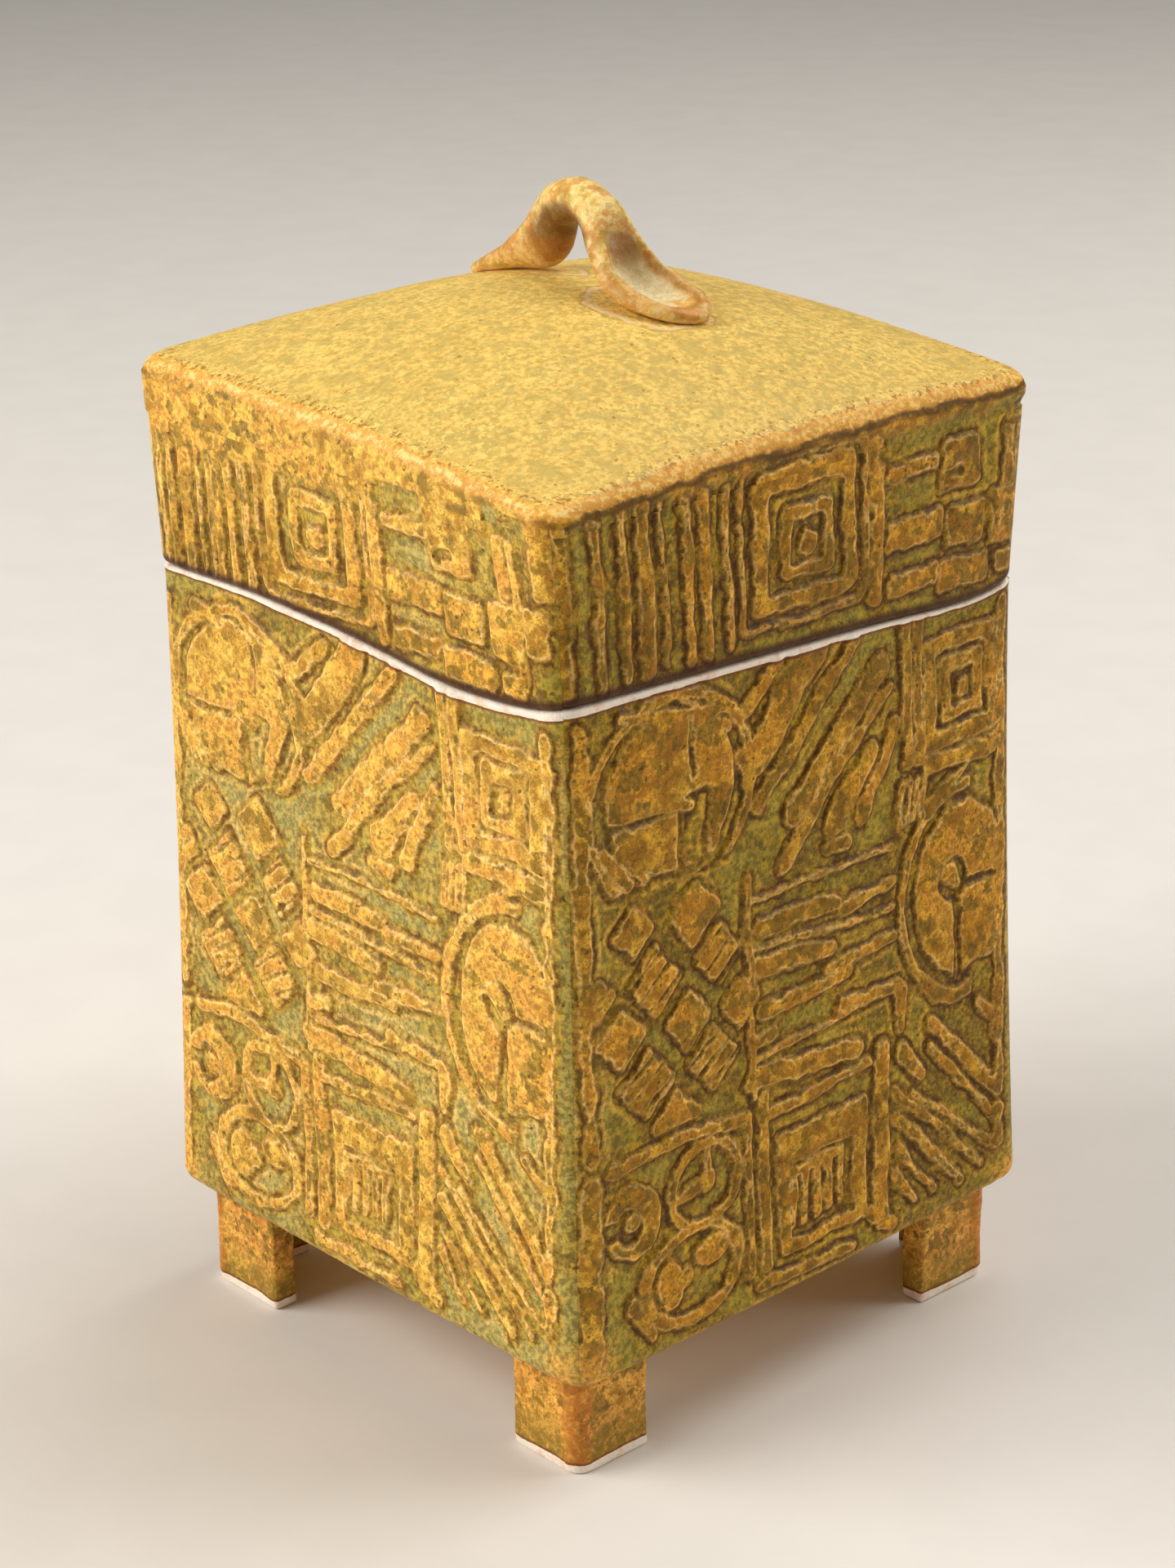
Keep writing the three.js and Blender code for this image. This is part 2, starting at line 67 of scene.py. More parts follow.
camera.data.lens = sensor_height * focal_length_px / photo_height_px
camera.data.sensor_width = sensor_height
camera.data.sensor_fit = "AUTO"
camera.matrix_world = Matrix((view_right, view_up, view_back)).transposed().to_4x4()
camera.matrix_world.translation = camera_place
bpy.context.scene.collection.objects.link(camera)
bpy.context.scene.camera = camera

# Body walls
# Four slabs of rolled clay, pressed on one carved mould, mitred and luted at the corners. The rim rises
# and dips as the slabs were cut by hand. It was wiped bare of glaze, so that the lid doesn't stick to it
# in the kiln.
sides = ("front", "right", "back", "left")
corner_radius = 5
wall_thickness = 5.5
relief_depth = 0.6
relief_pitch = 0.375  # between the points of the mesh
body_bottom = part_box("front_wall")[0].z * 1000
body_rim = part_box("front_wall")[1].z * 1000
rim_half = 51.2
foot_spread = 2.5
spread_power = 1.6
lower_edge_round = 3
rim_round = 1.1
side_length = 2 * rim_half
mitre_gap = 0.02
corner_drop = 0.35  # how far the plain corners lie behind the raised parts
wall_seeds = (20, 50, 80, 110)


def ease(low, high, value):
    """Smooth step from 0 at low to 1 at high."""
    share = np.clip((value - low) / (high - low), 0, 1)
    return share * share * (3 - 2 * share)


def waver(x, z, pitch, seed):
    """Smooth random swing between -1 and 1, one swing about every pitch millimetres."""
    size = 67
    swings = np.random.default_rng(seed).uniform(-1, 1, (size, size))
    column = np.asarray(x, float) / pitch + 33.3
    row = np.asarray(z, float) / pitch + 33.7
    left = np.floor(column).astype(int)
    below = np.floor(row).astype(int)
    across = ease(0, 1, column - left)
    up = ease(0, 1, row - below)

    def corner(right_step, up_step):
        return swings[(left + right_step) % size, (below + up_step) % size]

    low = corner(0, 0) * (1 - across) + corner(1, 0) * across
    high = corner(0, 1) * (1 - across) + corner(1, 1) * across
    return low * (1 - up) + high * up


def around(stops, side, along, smoothing=6):
    """Level at a place on a wall, from stops of (distance round the box, level), smoothed."""
    places, levels = zip(*stops)
    shifts = np.linspace(-smoothing, smoothing, 13)
    total = 0
    for shift in shifts:
        place = side * side_length + side_length / 2 + along + shift
        total = total + np.interp(place, places, levels, period=4 * side_length)
    return total / len(shifts)


# Distances run from the front left corner, along the front wall first
rim_wave = (
    (0, 133.3), (26, 133.9), (51, 132.6), (76, 129.9), (92, 130.6), (103, 132.7),
    (116, 132.1), (144, 131), (170, 129.9), (190, 128.5), (199, 129), (206, 130.8),
    (256, 131.6), (308, 132.7), (358, 133.3),
)
# How wide the rim was wiped bare of glaze
bare_widths = ((0, 0.6), (50, 1), (103, 1.2), (150, 1), (185, 0.6), (206, 0.4), (300, 0.9), (358, 0.6))
lower_edge_wave = ((0, 18.4), (50, 18.2), (100, 18.7), (150, 18.4), (205, 19.1), (300, 18.6))
# How far the walls are turned about the upright axis, in degrees, from the foot to the top of the lid
lean_levels = (20, 118, 134, 150, 168)
lean_turns = (0.65, 0.65, 0.35, -0.1, -0.95)


def body_half(z):
    down = np.clip((body_rim - z) / (body_rim - body_bottom), 0, 1)
    return rim_half + foot_spread * down**spread_power


def lean(x, y, z):
    turn = np.radians(np.interp(z, lean_levels, lean_turns))
    return x * np.cos(turn) - y * np.sin(turn), x * np.sin(turn) + y * np.cos(turn)


def turned(x, y, angle):
    """Places turned anticlockwise about the origin."""
    return x * math.cos(angle) - y * math.sin(angle), x * math.sin(angle) + y * math.cos(angle)


def plate(x, z, centre_x, centre_z, half_width, half_height, turn=0, corner=0.8):
    """Distance to the edge of a plate with round corners, positive inside."""
    along, up = turned(x - centre_x, z - centre_z, -math.radians(turn))
    over_x = np.abs(along) - (half_width - corner)
    over_z = np.abs(up) - (half_height - corner)
    outside = np.hypot(np.maximum(over_x, 0), np.maximum(over_z, 0))
    return corner - outside - np.minimum(np.maximum(over_x, over_z), 0)


def bar(x, z, start, end, half_width, taper=0):
    """Distance to the edge of a bar between two points, positive inside. Its end is narrower by taper."""
    start_x, start_z = start
    run_x = end[0] - start_x
    run_z = end[1] - start_z
    share = np.clip(((x - start_x) * run_x + (z - start_z) * run_z) / (run_x**2 + run_z**2), 0, 1)
    distance = np.hypot(x - start_x - share * run_x, z - start_z - share * run_z)
    return half_width * (1 - taper * share) - distance


def oval(x, z, centre_x, centre_z, radius_x, radius_z):
    """Distance to the edge of an oval, positive inside."""
    reach = np.hypot((x - centre_x) / radius_x, (z - centre_z) / radius_z)
    return (1 - reach) * min(radius_x, radius_z)


def join(*shapes):
    return np.maximum.reduce(shapes)


def bars_along(x, z, strokes):
    """Bars, each along a stroke of (start, end, half width, taper)."""
    return join(*[bar(x, z, *stroke) for stroke in strokes])


def cut(shape, *tools):
    return np.minimum.reduce([shape, *[-tool for tool in tools]])


def outline(shape, half_width):
    return half_width - np.abs(shape)


def disc_with_boss(x, z):
    disc = oval(x, z, -29.5, 114.2, 13.4, 13.2)
    slots = (
        bar(x, z, (-45, 111.3), (-28, 111.3), 0.7),
        bar(x, z, (-25, 128), (-24.6, 116), 0.55),
        bar(x, z, (-27.5, 110), (-28, 98), 0.8),
        plate(x, z, -23.6, 107.4, 3.8, 6, corner=3),
    )
    boss = bar(x, z, (-29.2, 113), (-25.6, 111.2), 1.9, 0.4)
    rim = np.minimum(outline(oval(x, z, -29.5, 113.4, 17.2, 16.2), 0.75), z - 101)
    crescent = bar(x, z, (-18.4, 114), (-21.4, 103.6), 1.7, 0.4)
    dashes = [bar(x, z, (-44 + step, 107.4), (-39 + step, 101.6), 1.1) for step in (0, 3.2)]
    return join(cut(disc, *slots), boss, rim, crescent, *dashes)


def rays(x, z):
    strokes = (
        ((-14, 122.6), (-6, 129), 1.0, 0), ((-11.5, 114.6), (1.5, 130), 3.0, 0),
        ((-11, 106.4), (11, 129), 1.3, 0), ((-3, 103.4), (17.4, 123), 2.3, 0.2),
        ((-5, 95.2), (7, 108.6), 1.4, 0), ((7, 108.6), (19.6, 119), 1.2, 0.4),
        ((7, 99.8), (15, 109), 2.7, 0.5), ((13, 98.6), (20.4, 112), 1.6, 0.3),
        ((-14, 116), (-13, 110), 1.4, 0.5), ((-40, 128.6), (-16, 124.4), 1.0, 0.4),
        ((-28, 129.6), (-17, 121.4), 0.8, 0.3),
    )
    return bars_along(x, z, strokes)


def square_in_square(x, z):
    field = plate(x, z, 36.6, 114.8, 9.3, 9.5)
    frame_line = plate(x, z, 36.6, 114.8, 6.3, 6.4)
    inner = plate(x, z, 36.6, 114.8, 5.2, 5.3)
    middle = plate(x, z, 36.6, 114.6, 3, 3)
    boss = plate(x, z, 36.9, 114.3, 1.5, 1.4, corner=0.6)
    uprights = [bar(x, z, (place, 129), (place + 0.4, 104.6), 1.05) for place in (23.2, 26)]
    sill = plate(x, z, 36.6, 102.6, 9.6, 1.6)
    edge = bar(x, z, (46.8, 126), (47, 104), 0.7)
    return join(cut(field, frame_line), cut(inner, middle), boss, *uprights, sill, edge)


def oval_with_boss(x, z):
    whole = join(oval(x, z, 36.8, 78.8, 11, 15.6), plate(x, z, 41.6, 71.4, 4.8, 7, corner=2))
    slots = (
        bar(x, z, (35, 79.3), (50, 79), 0.75),
        bar(x, z, (35.6, 79), (36.2, 60), 0.9, -0.6),
        oval(x, z, 35, 80.6, 3.6, 4),
    )
    boss = bar(x, z, (33.8, 82.6), (36, 79.6), 1.6, 0.4)
    rim = np.minimum(outline(oval(x, z, 37.6, 78.4, 15.4, 19), 0.8), 39 - x)
    comb = [bar(x, z, (22.6 + step, 101), (22 + step, 94), 0.5) for step in (0, 1.6, 3.2, 4.8)]
    lash = bar(x, z, (29, 95), (38, 101), 1.3, 0.5)
    return join(cut(whole, *slots), boss, rim, *comb, lash)


def lattice(x, z):
    plain = (
        (-38.4, 93.2, 3.1), (-25.4, 92.8, 4.1), (-41.6, 76.6, 3.7),
        (-27.4, 75.4, 3.7), (-15.4, 74.8, 3.2),
    )
    ribbed = (
        (-34, 84, 4.2), (-20, 84.2, 3.8), (-36.6, 67.4, 4.2),
        (-22, 67.2, 4.1), (-46, 84.4, 2.6),
    )
    tiles = [plate(x, z, px, pz, size, size, turn=42) for px, pz, size in plain]
    tiles.append(cut(plate(x, z, -30.6, 59.6, 3.8, 3.8, turn=45), 58.6 - z))
    for px, pz, size in ribbed:
        tile = plate(x, z, px, pz, size, size, turn=42)
        grooves = [
            bar(x, z, (px - 6 + step, pz - 4 - step), (px + 6 + step, pz + 4 - step), 0.4)
            for step in (-2.2, 0, 2.2)
        ]
        tiles.append(cut(tile, *grooves))
    return join(*tiles)


def level_bars(x, z):
    strokes = (
        ((-10, 86.2), (6, 85.2), 1.7, 0.2), ((8, 83.6), (20, 84.6), 1.3, 0.5),
        ((-11, 79.2), (5, 77.8), 1.8, 0.2), ((5, 74.2), (20, 75), 1.1, 0.2),
        ((-10, 71.6), (9, 72.2), 1.5, 0.3), ((-12.4, 66.2), (-8, 66.8), 1.1, 0),
        ((8, 66.6), (21, 65.4), 1.2, 0.2), ((-13, 60), (11, 57.4), 1.9, 0.1),
        ((5, 95.4), (9, 95.2), 1.2, 0), ((-13, 82.6), (20, 80), 0.4, 0),
        ((-13, 63), (21, 66), 0.4, 0), ((-13.4, 95), (-12.8, 57), 0.6, 0),
        ((21.6, 64), (21.8, 58), 1.6, 0.4), ((-12, 91.4), (20, 91), 0.45, 0),
    )
    return bars_along(x, z, strokes)


def three_rings(x, z):
    first = cut(oval(x, z, -40.6, 44.8, 6.4, 6.4), oval(x, z, -41.6, 44.4, 3.2, 3.4))
    first = cut(first, plate(x, z, -45, 44.6, 3, 1.6))
    second = oval(x, z, -24.3, 46, 7.4, 7)
    spokes = join(bar(x, z, (-31, 45.6), (-24, 46.2), 0.8), bar(x, z, (-23.6, 46), (-23.4, 52), 0.6))
    third = oval(x, z, -27.8, 31.2, 10.4, 7.9)
    fields = (
        oval(x, z, -32.6, 31, 3, 4.2),
        oval(x, z, -23.4, 34, 3.6, 2.4),
        bar(x, z, (-41, 30), (-37, 23.6), 1.5, 0.4),
        bar(x, z, (-44, 55.2), (-31, 56.2), 1.1, 0),
        bar(x, z, (-31, 56.2), (-14.6, 54), 1.1, 0.2),
        bar(x, z, (-14.6, 54), (-14.2, 26), 0.8, 0),
    )
    bosses = [oval(x, z, px, pz, 1.7, 1.7) for px, pz in ((-40.8, 44.8), (-23.8, 46.2), (-29, 31.2))]
    return join(first, outline(second, 0.8), spokes, outline(third, 0.95), *fields, *bosses)


def framed_comb(x, z):
    field = plate(x, z, 2.8, 37.4, 10.4, 11)
    well = plate(x, z, 2.6, 35.6, 7.4, 7.2)
    lintel = plate(x, z, 1, 41, 6, 0.8, corner=0.4)
    teeth = [bar(x, z, (place, 41), (place - 0.2, 31.6), 0.75) for place in (-4.3, -1.7, 1.2, 4, 6.6)]
    posts = (
        bar(x, z, (-11, 56), (-10.6, 26), 1.3, 0),
        bar(x, z, (-10, 53), (14, 54), 0.9, 0.3),
        bar(x, z, (17, 55), (16.6, 24.6), 1.8, 0),
        bar(x, z, (-12, 22.6), (9, 21.8), 1.0, 0.3),
        bar(x, z, (15, 26), (19, 22.4), 1.6, 0.3),
    )
    return join(cut(field, well), lintel, *teeth, *posts)


def falling_hatch(x, z):
    strokes = (
        ((30, 56), (46.4, 38), 1.25, 0.2), ((41, 56), (47, 51), 0.8, 0),
        ((29.4, 52), (45, 33.8), 0.7, 0.2),
        ((20.6, 41.6), (37, 24), 1.1, 0.3), ((20.4, 46.6), (42, 25.4), 0.7, 0.3),
        ((22, 53.4), (27, 47.6), 1.7, 0.4), ((25, 44.6), (44, 28.4), 0.6, 0.2),
        ((21, 36), (30, 25), 0.6, 0.2), ((36, 50), (44, 42.6), 0.5, 0), ((20.2, 32), (25, 25), 0.9, 0.4),
    )
    return bars_along(x, z, strokes)


def ragged_edge(x, z, seed):
    """How far the edge of a form swings in and out."""
    return 0.12 * waver(x, z, 2.1, seed + 5) + 0.05 * waver(x, z, 1.1, seed + 6)


def body_relief(x, z, seed):
    """Distance to the nearest edge of a body wall's raised pattern, positive on the raised parts."""
    x_here = x + 0.5 * waver(x, z, 7, seed) + 0.22 * waver(x, z, 2.8, seed + 1)
    z_here = z + 0.5 * waver(x, z, 7, seed + 2) + 0.22 * waver(x, z, 2.8, seed + 3)
    parts = (
        disc_with_boss, rays, square_in_square, oval_with_boss, lattice,
        level_bars, three_rings, framed_comb, falling_hatch,
    )
    pattern = join(*[part(x_here, z_here) for part in parts])
    ridges = join(
        bar(x_here, z_here, (-47.8, 128), (-48.4, 59), 1.5),
        bar(x_here, z_here, (-48.6, 54), (-50.6, 22), 1.9, -0.2),
        bar(x_here, z_here, (46.4, 127), (46.6, 39), 1.1),
        bar(x_here, z_here, (46.4, 34), (46.2, 28), 1.1),
    )
    ridges = ridges + 0.6 * waver(x, z, 3.4, seed + 4) - 0.1
    return join(pattern, ridges) + ragged_edge(x, z, seed)


def wall_grid(straight_half):
    """Columns along a wall: share of the straight run, and turn round the corner."""
    straight = np.linspace(-1, 1, int(2 * straight_half / relief_pitch))
    bends = np.linspace(0, math.pi / 4, 10)[1:]
    share = np.concatenate([-np.ones(len(bends)), straight, np.ones(len(bends))])
    turn = np.concatenate([-bends[::-1], np.zeros(len(straight)), bends])
    return share, turn


def wall_rows(height, bottom_round, top_round):
    """Rows up the outer face: share of the straight rise, height past it, and how far it is drawn in."""
    lower = np.linspace(0, math.pi / 2, 3 + int(bottom_round * 2))[:-1]
    upper = np.linspace(math.pi / 2, 0, 3 + int(top_round * 2))[1:]
    straight = np.linspace(0, 1, int(height / relief_pitch))
    share = np.concatenate([np.zeros(len(lower)), straight, np.ones(len(upper))])
    past = np.concatenate([-bottom_round * np.cos(lower), 0 * straight, top_round * np.cos(upper)])
    lower_inset = bottom_round * (1 - np.sin(lower))
    upper_inset = top_round * (1 - np.sin(upper))
    return share, past, np.concatenate([lower_inset, 0 * straight, upper_inset])


def mesh_piece(name, points, faces, values):
    """An object from points in millimetres, with a float attribute for each named value."""
    mesh = bpy.data.meshes.new(name)
    mesh.from_pydata((points * 0.001).tolist(), [], faces)
    for label, numbers in values.items():
        layer = mesh.attributes.new(label, "FLOAT", "POINT")
        layer.data.foreach_set("value", numbers.ravel().astype(np.float32))
    mesh.shade_smooth()
    mesh.set_sharp_from_angle(angle=math.radians(65))
    piece = bpy.data.objects.new(name, mesh)
    bpy.context.scene.collection.objects.link(piece)
    return piece


def closed_faces(index, mirrored=False):
    """Quads between neighbouring loops, given as rows of point numbers, and a face on each end."""
    after = np.roll(index, -1, 1)
    corners = [index[:-1], after[:-1], after[1:], index[1:]]
    if mirrored:
        corners = [corners[0], *corners[:0:-1]]
    quads = np.stack(corners, -1).reshape(-1, 4).tolist()
    first = index[0].tolist()
    last = index[-1].tolist()
    ends = [first, last[::-1]] if mirrored else [first[::-1], last]
    return quads + ends


def second_line(shape, along, z, seed):
    """Share of a thin ridge along some of the forms, where the mould's carving was outlined twice."""
    return ease(0, 0.4, waver(along, z, 9, seed + 8)) * np.exp(-(((shape + 1.7) / 0.4) ** 2))


def drawn_in(shape, along, z, seed):
    """How far the outer face lies behind the slab's full width, from the distance to the form's edges."""
    ground = relief_depth * (1 - ease(-1, 0.6, shape)) - 0.18 * second_line(shape, along, z, seed)
    crease = 0.07 * np.exp(-(((shape + 0.75) / 0.35) ** 2))
    uneven = 0.16 * waver(along, z, 14, seed + 9) + 0.1 * waver(along, z, 3.4, seed + 10)
    return ground + crease - 0.15 * ease(0.3, 3, shape) + uneven


# How thick the glaze lies, round the box. It is painted shade as well: it makes the right and back walls,
# which face away from the key light, darker and browner.
glaze_depth_and_shade = ((0, 0.2), (92, 0), (98, 0.2), (106, 0.8), (112, 1), (205, 1), (256, 0.7), (320, 0.4))


def worn_corner(share, above_bottom):
    """Share by which the glaze is worn thin: along the lower edge, and most at the lowest corners."""
    at_corner = ease(0.88, 1, np.abs(share))[:, None]
    return 0.35 * ease(2.2, 0.4, above_bottom) + 0.75 * at_corner * ease(11, 3, above_bottom)


def slab_wall(
    name, side, half_at, bottom_stops, top_stops, bottom_round, top_round, relief, seed, plain_at=None
):
    """A closed slab: a patterned outer face, the rim, a plain inner face, and mitred ends."""
    share, turn = wall_grid(rim_half - corner_radius)
    tallest = max(level for _, level in top_stops) - min(level for _, level in bottom_stops)
    rise, past, inset = wall_rows(tallest, bottom_round, top_round)
    along = share * (rim_half - corner_radius) + corner_radius * turn
    bottom = around(bottom_stops, side, along)[:, None]
    top = around(top_stops, side, along)[:, None]
    z = bottom + bottom_round + rise * (top - top_round - bottom - bottom_round) + past
    half = half_at(z)
    centre = half - corner_radius
    flat = share[:, None] * centre
    shape = relief(flat + corner_radius * turn[:, None], z, seed)
    plain = plain_at(flat, z) if plain_at else 0 * z
    drop = drawn_in(shape, flat, z, seed) * (1 - plain) * ease(-0.5, 2.5, z - bottom)
    at_corner = ease(0.93, 1, np.abs(share))[:, None]
    drop = drop * (1 - at_corner) + corner_drop * at_corner
    if top_round:
        drop = drop * ease(0, 1.4, top - z)
    reach = corner_radius - inset - drop
    x = flat + reach * np.sin(turn)[:, None]
    y = -centre - reach * np.cos(turn)[:, None]
    x, y = lean(x, y, z)
    inner_levels = [top, top - 0.5, top * 0.65 + bottom * 0.35, top * 0.3 + bottom * 0.7, bottom]
    inner_z = np.concatenate(inner_levels, 1)
    inner_half = half_at(inner_z) - wall_thickness + np.array([0.5, 0, 0, 0, 0])
    square = share * (1 - corner_radius / rim_half) + np.sin(turn) * corner_radius / rim_half
    square = np.clip(square / np.abs(square).max(), -1, 1)[:, None]
    xs = np.concatenate([x, square * inner_half], 1) * (1 - mitre_gap / rim_half)
    ys = np.concatenate([y, -inner_half], 1)
    zs = np.concatenate([z, inner_z], 1)
    turned_x, turned_y = turned(xs, ys, side * math.pi / 2)
    points = np.stack([turned_x, turned_y, zs], -1).reshape(-1, 3)
    faces = closed_faces(np.arange(xs.size).reshape(xs.shape), mirrored=True)
    line = second_line(shape, flat, z, seed)
    # Browner and darker towards the seam between lid and body: low on the lid walls, high on the body walls
    browned = 0.6 * ease(20, 2, z - bottom) if plain_at else 0.5 * ease(12, 1, top - z)
    wiped = around(bare_widths, side, along)[:, None]
    none_inside = 0 * inner_z
    values = {
        "line": np.concatenate([line * (1 - plain), none_inside], 1),
        "edge": np.concatenate([np.clip(shape, -4, 4), none_inside - 3], 1),
        "plain": np.concatenate([plain, none_inside], 1),
        "below_bare": np.concatenate([top - z, top - inner_z], 1) - wiped,
        "above_bottom": np.concatenate([z - bottom, inner_z - bottom], 1),
        "thick_and_shaded": around(glaze_depth_and_shade, side, along)[:, None] + np.concatenate([browned, none_inside], 1),
        "worn": np.concatenate([worn_corner(share, z - bottom), none_inside], 1),
    }
    return mesh_piece(name, points, faces, values)


def place_node(tree, kind, inputs, **settings):
    """A node with its settings. Each input is a socket to link, or a value."""
    node = tree.nodes.new(kind)
    for name, value in settings.items():
        setattr(node, name, value)
    for name, value in inputs.items():
        if isinstance(value, bpy.types.NodeSocket):
            tree.links.new(value, node.inputs[name])
        else:
            node.inputs[name].default_value = value
    return node


def step_between(tree, value, low, high, bottom=0.0, top=1.0):
    inputs = {"Value": value, "From Min": low, "From Max": high, "To Min": bottom, "To Max": top}
    return place_node(tree, "ShaderNodeMapRange", inputs, interpolation_type="SMOOTHSTEP").outputs["Result"]


def swing(tree, share, most):
    """A share from 0 to 1, made a swing from minus most to most."""
    return step_between(tree, share, 0, 1, -most, most)


def mixed(tree, share, first, second, blend="MIX"):
    inputs = {0: share, 6: first, 7: second}
    return place_node(tree, "ShaderNodeMix", inputs, data_type="RGBA", blend_type=blend).outputs[2]


def tinted(tree, colour, tint):
    return mixed(tree, 1.0, colour, tint, "MULTIPLY")


def calculated(tree, kind, first, second):
    return place_node(tree, "ShaderNodeMath", {0: first, 1: second}, operation=kind).outputs[0]


def plus(tree, first, second):
    return calculated(tree, "ADD", first, second)


def minus(tree, first, second):
    return calculated(tree, "SUBTRACT", first, second)


def times(tree, first, second):
    return calculated(tree, "MULTIPLY", first, second)


def group_with(name, inputs, outputs):
    """A shader node group, with its inputs as sockets to read and its outputs as sockets to fill."""
    group = bpy.data.node_groups.new(name, "ShaderNodeTree")
    kinds = {float: "NodeSocketFloat", tuple: "NodeSocketColor"}
    for label, value in inputs.items():
        socket = group.interface.new_socket(label, in_out="INPUT", socket_type=kinds[type(value)])
        socket.default_value = value
    for label, kind in outputs.items():
        group.interface.new_socket(label, in_out="OUTPUT", socket_type=kinds[kind])
    return group, group.nodes.new("NodeGroupInput").outputs, group.nodes.new("NodeGroupOutput").inputs


def use_group(tree, group, inputs):
    return place_node(tree, "ShaderNodeGroup", inputs, node_tree=group).outputs


def srgb(red, green, blue):
    """A colour as a picture shows it, from 0 to 255, made linear."""
    return tuple((value / 255) ** 2.2 for value in (red, green, blue)) + (1.0,)


# The grain of the glaze: crystals and specks, in sizes of millimetres
grain, grain_in, grain_out = group_with(
    "glaze_grain",
    {"Seed": 0.0},
    {"Fine": float, "Patch": float, "Cloud": float, "Wander": float, "Speck": float},
)
place = place_node(grain, "ShaderNodeTexCoord", {}).outputs["Object"]
in_mm = place_node(grain, "ShaderNodeVectorMath", {0: place, "Scale": 1000.0}, operation="SCALE").outputs[0]
for label, per_mm, detail, roughness in (
    ("Fine", 0.95, 3.0, 0.7), ("Patch", 0.36, 4.0, 0.6),
    ("Cloud", 0.055, 3.0, 0.5), ("Wander", 0.17, 4.0, 0.55),
):
    sizes = {"Scale": per_mm, "Detail": detail, "Roughness": roughness}
    inputs = {"Vector": in_mm, "W": grain_in["Seed"], **sizes}
    noise = place_node(grain, "ShaderNodeTexNoise", inputs, noise_dimensions="4D").outputs["Fac"]
    grain.links.new(step_between(grain, noise, 0.32, 0.68), grain_out[label])
speck_cells = place_node(grain, "ShaderNodeTexVoronoi", {"Vector": in_mm, "Scale": 0.55, "Randomness": 1.0})
speck_noise = place_node(grain, "ShaderNodeTexNoise", {"Vector": in_mm, "Scale": 0.9, "Detail": 2.0})
speck_size = step_between(grain, speck_noise.outputs["Fac"], 0.5, 0.75, 0.02, 0.34)
speck = calculated(grain, "LESS_THAN", speck_cells.outputs["Distance"], speck_size)
grain.links.new(speck, grain_out["Speck"])

# The glaze over a pattern: pale on the edges, brown beside them as pooled glaze and painted shade, ochre on
# top, green where it pooled, darker on the shaded sides
relief_glaze, glaze_in, glaze_out = group_with(
    "glaze_over_relief",
    {
        "Edge": 0.0, "Plain": 0.0, "Line": 0.0, "Worn": 0.0, "Thick": 0.0, "Seed": 0.0,
        "Raised": srgb(232, 166, 72), "Gold": srgb(255, 200, 86), "Brown": srgb(158, 108, 34),
        "Rim": srgb(255, 206, 122), "Rust": srgb(196, 104, 52), "Crease_pool_and_shade": srgb(136, 82, 24),
        "Burnt": srgb(86, 46, 8), "Hollow": srgb(186, 156, 62), "Dark": srgb(138, 110, 38),
        "Pool": srgb(176, 162, 92), "Fleck": srgb(222, 166, 70), "Deep_and_shaded": srgb(224, 214, 132),
    },
    {"Colour": tuple, "Roughness": float, "Height": float},
)
tree = relief_glaze
grains = use_group(tree, grain, {"Seed": glaze_in["Seed"]})
others = use_group(tree, grain, {"Seed": plus(tree, glaze_in["Seed"], 31.0)})
wandering = swing(tree, grains["Wander"], 0.16)
ragged = swing(tree, grains["Patch"], 0.28)
edge = plus(tree, plus(tree, glaze_in["Edge"], wandering), ragged)


def band(tree, value, low, high, soft, most):
    """Share of a band between two values, soft at both ends."""
    above = step_between(tree, value, low - soft, low + soft)
    below = step_between(tree, value, high + soft, high - soft)
    return times(tree, times(tree, above, below), most)


# Recesses: olive brown near the pattern, grey green in the pools, with golden flecks, and darker on the
# shaded sides as painted shade
pooled = step_between(tree, edge, -0.8, -2.2)
pooled = times(tree, pooled, step_between(tree, grains["Cloud"], 0.25, 0.7, 0.25, 0.95))
thinned = minus(tree, others["Patch"], times(tree, glaze_in["Thick"], 0.3))
colour = mixed(tree, step_between(tree, thinned, 0.1, 0.6), glaze_in["Dark"], glaze_in["Hollow"])
colour = mixed(tree, pooled, colour, glaze_in["Pool"])
flecks = step_between(tree, others["Fine"], 0.55, 0.95, 0, 0.5)
colour = mixed(tree, flecks, colour, glaze_in["Fleck"])
colour = mixed(tree, times(tree, glaze_in["Line"], 0.55), colour, glaze_in["Rim"])
# Raised parts: orange with golden patches, and brown ones where the glaze is thick and where the side is
# darkened as painted shade
clouded = step_between(tree, others["Cloud"], 0.3, 0.7)
top_colour = mixed(tree, clouded, glaze_in["Raised"], glaze_in["Gold"])
speckled = times(tree, plus(tree, others["Patch"], others["Fine"]), 0.5)
golden = step_between(tree, speckled, 0.35, 0.7, 0, 0.8)
top_colour = mixed(tree, golden, top_colour, glaze_in["Gold"])
browner = times(tree, plus(tree, grains["Patch"], grains["Fine"]), 0.5)
browner = plus(tree, browner, times(tree, glaze_in["Thick"], 0.15))
browner = plus(tree, browner, swing(tree, others["Cloud"], 0.16))
top_colour = mixed(tree, step_between(tree, browner, 0.6, 0.82, 0, 0.85), top_colour, glaze_in["Brown"])
run_over = plus(tree, others["Patch"], times(tree, glaze_in["Thick"], 0.12))
run_over = plus(tree, run_over, swing(tree, grains["Cloud"], 0.15))
top_colour = mixed(tree, step_between(tree, run_over, 0.66, 0.86, 0, 0.75), top_colour, glaze_in["Dark"])
patterned = minus(tree, 1.0, glaze_in["Plain"])
raised = calculated(tree, "MAXIMUM", step_between(tree, edge, -0.3, 0.1), glaze_in["Plain"])
colour = mixed(tree, raised, colour, top_colour)
# Painted shade: the shaded sides are tinted darker and browner, along with the thicker glaze there
colour = mixed(tree, glaze_in["Thick"], colour, tinted(tree, colour, glaze_in["Deep_and_shaded"]))
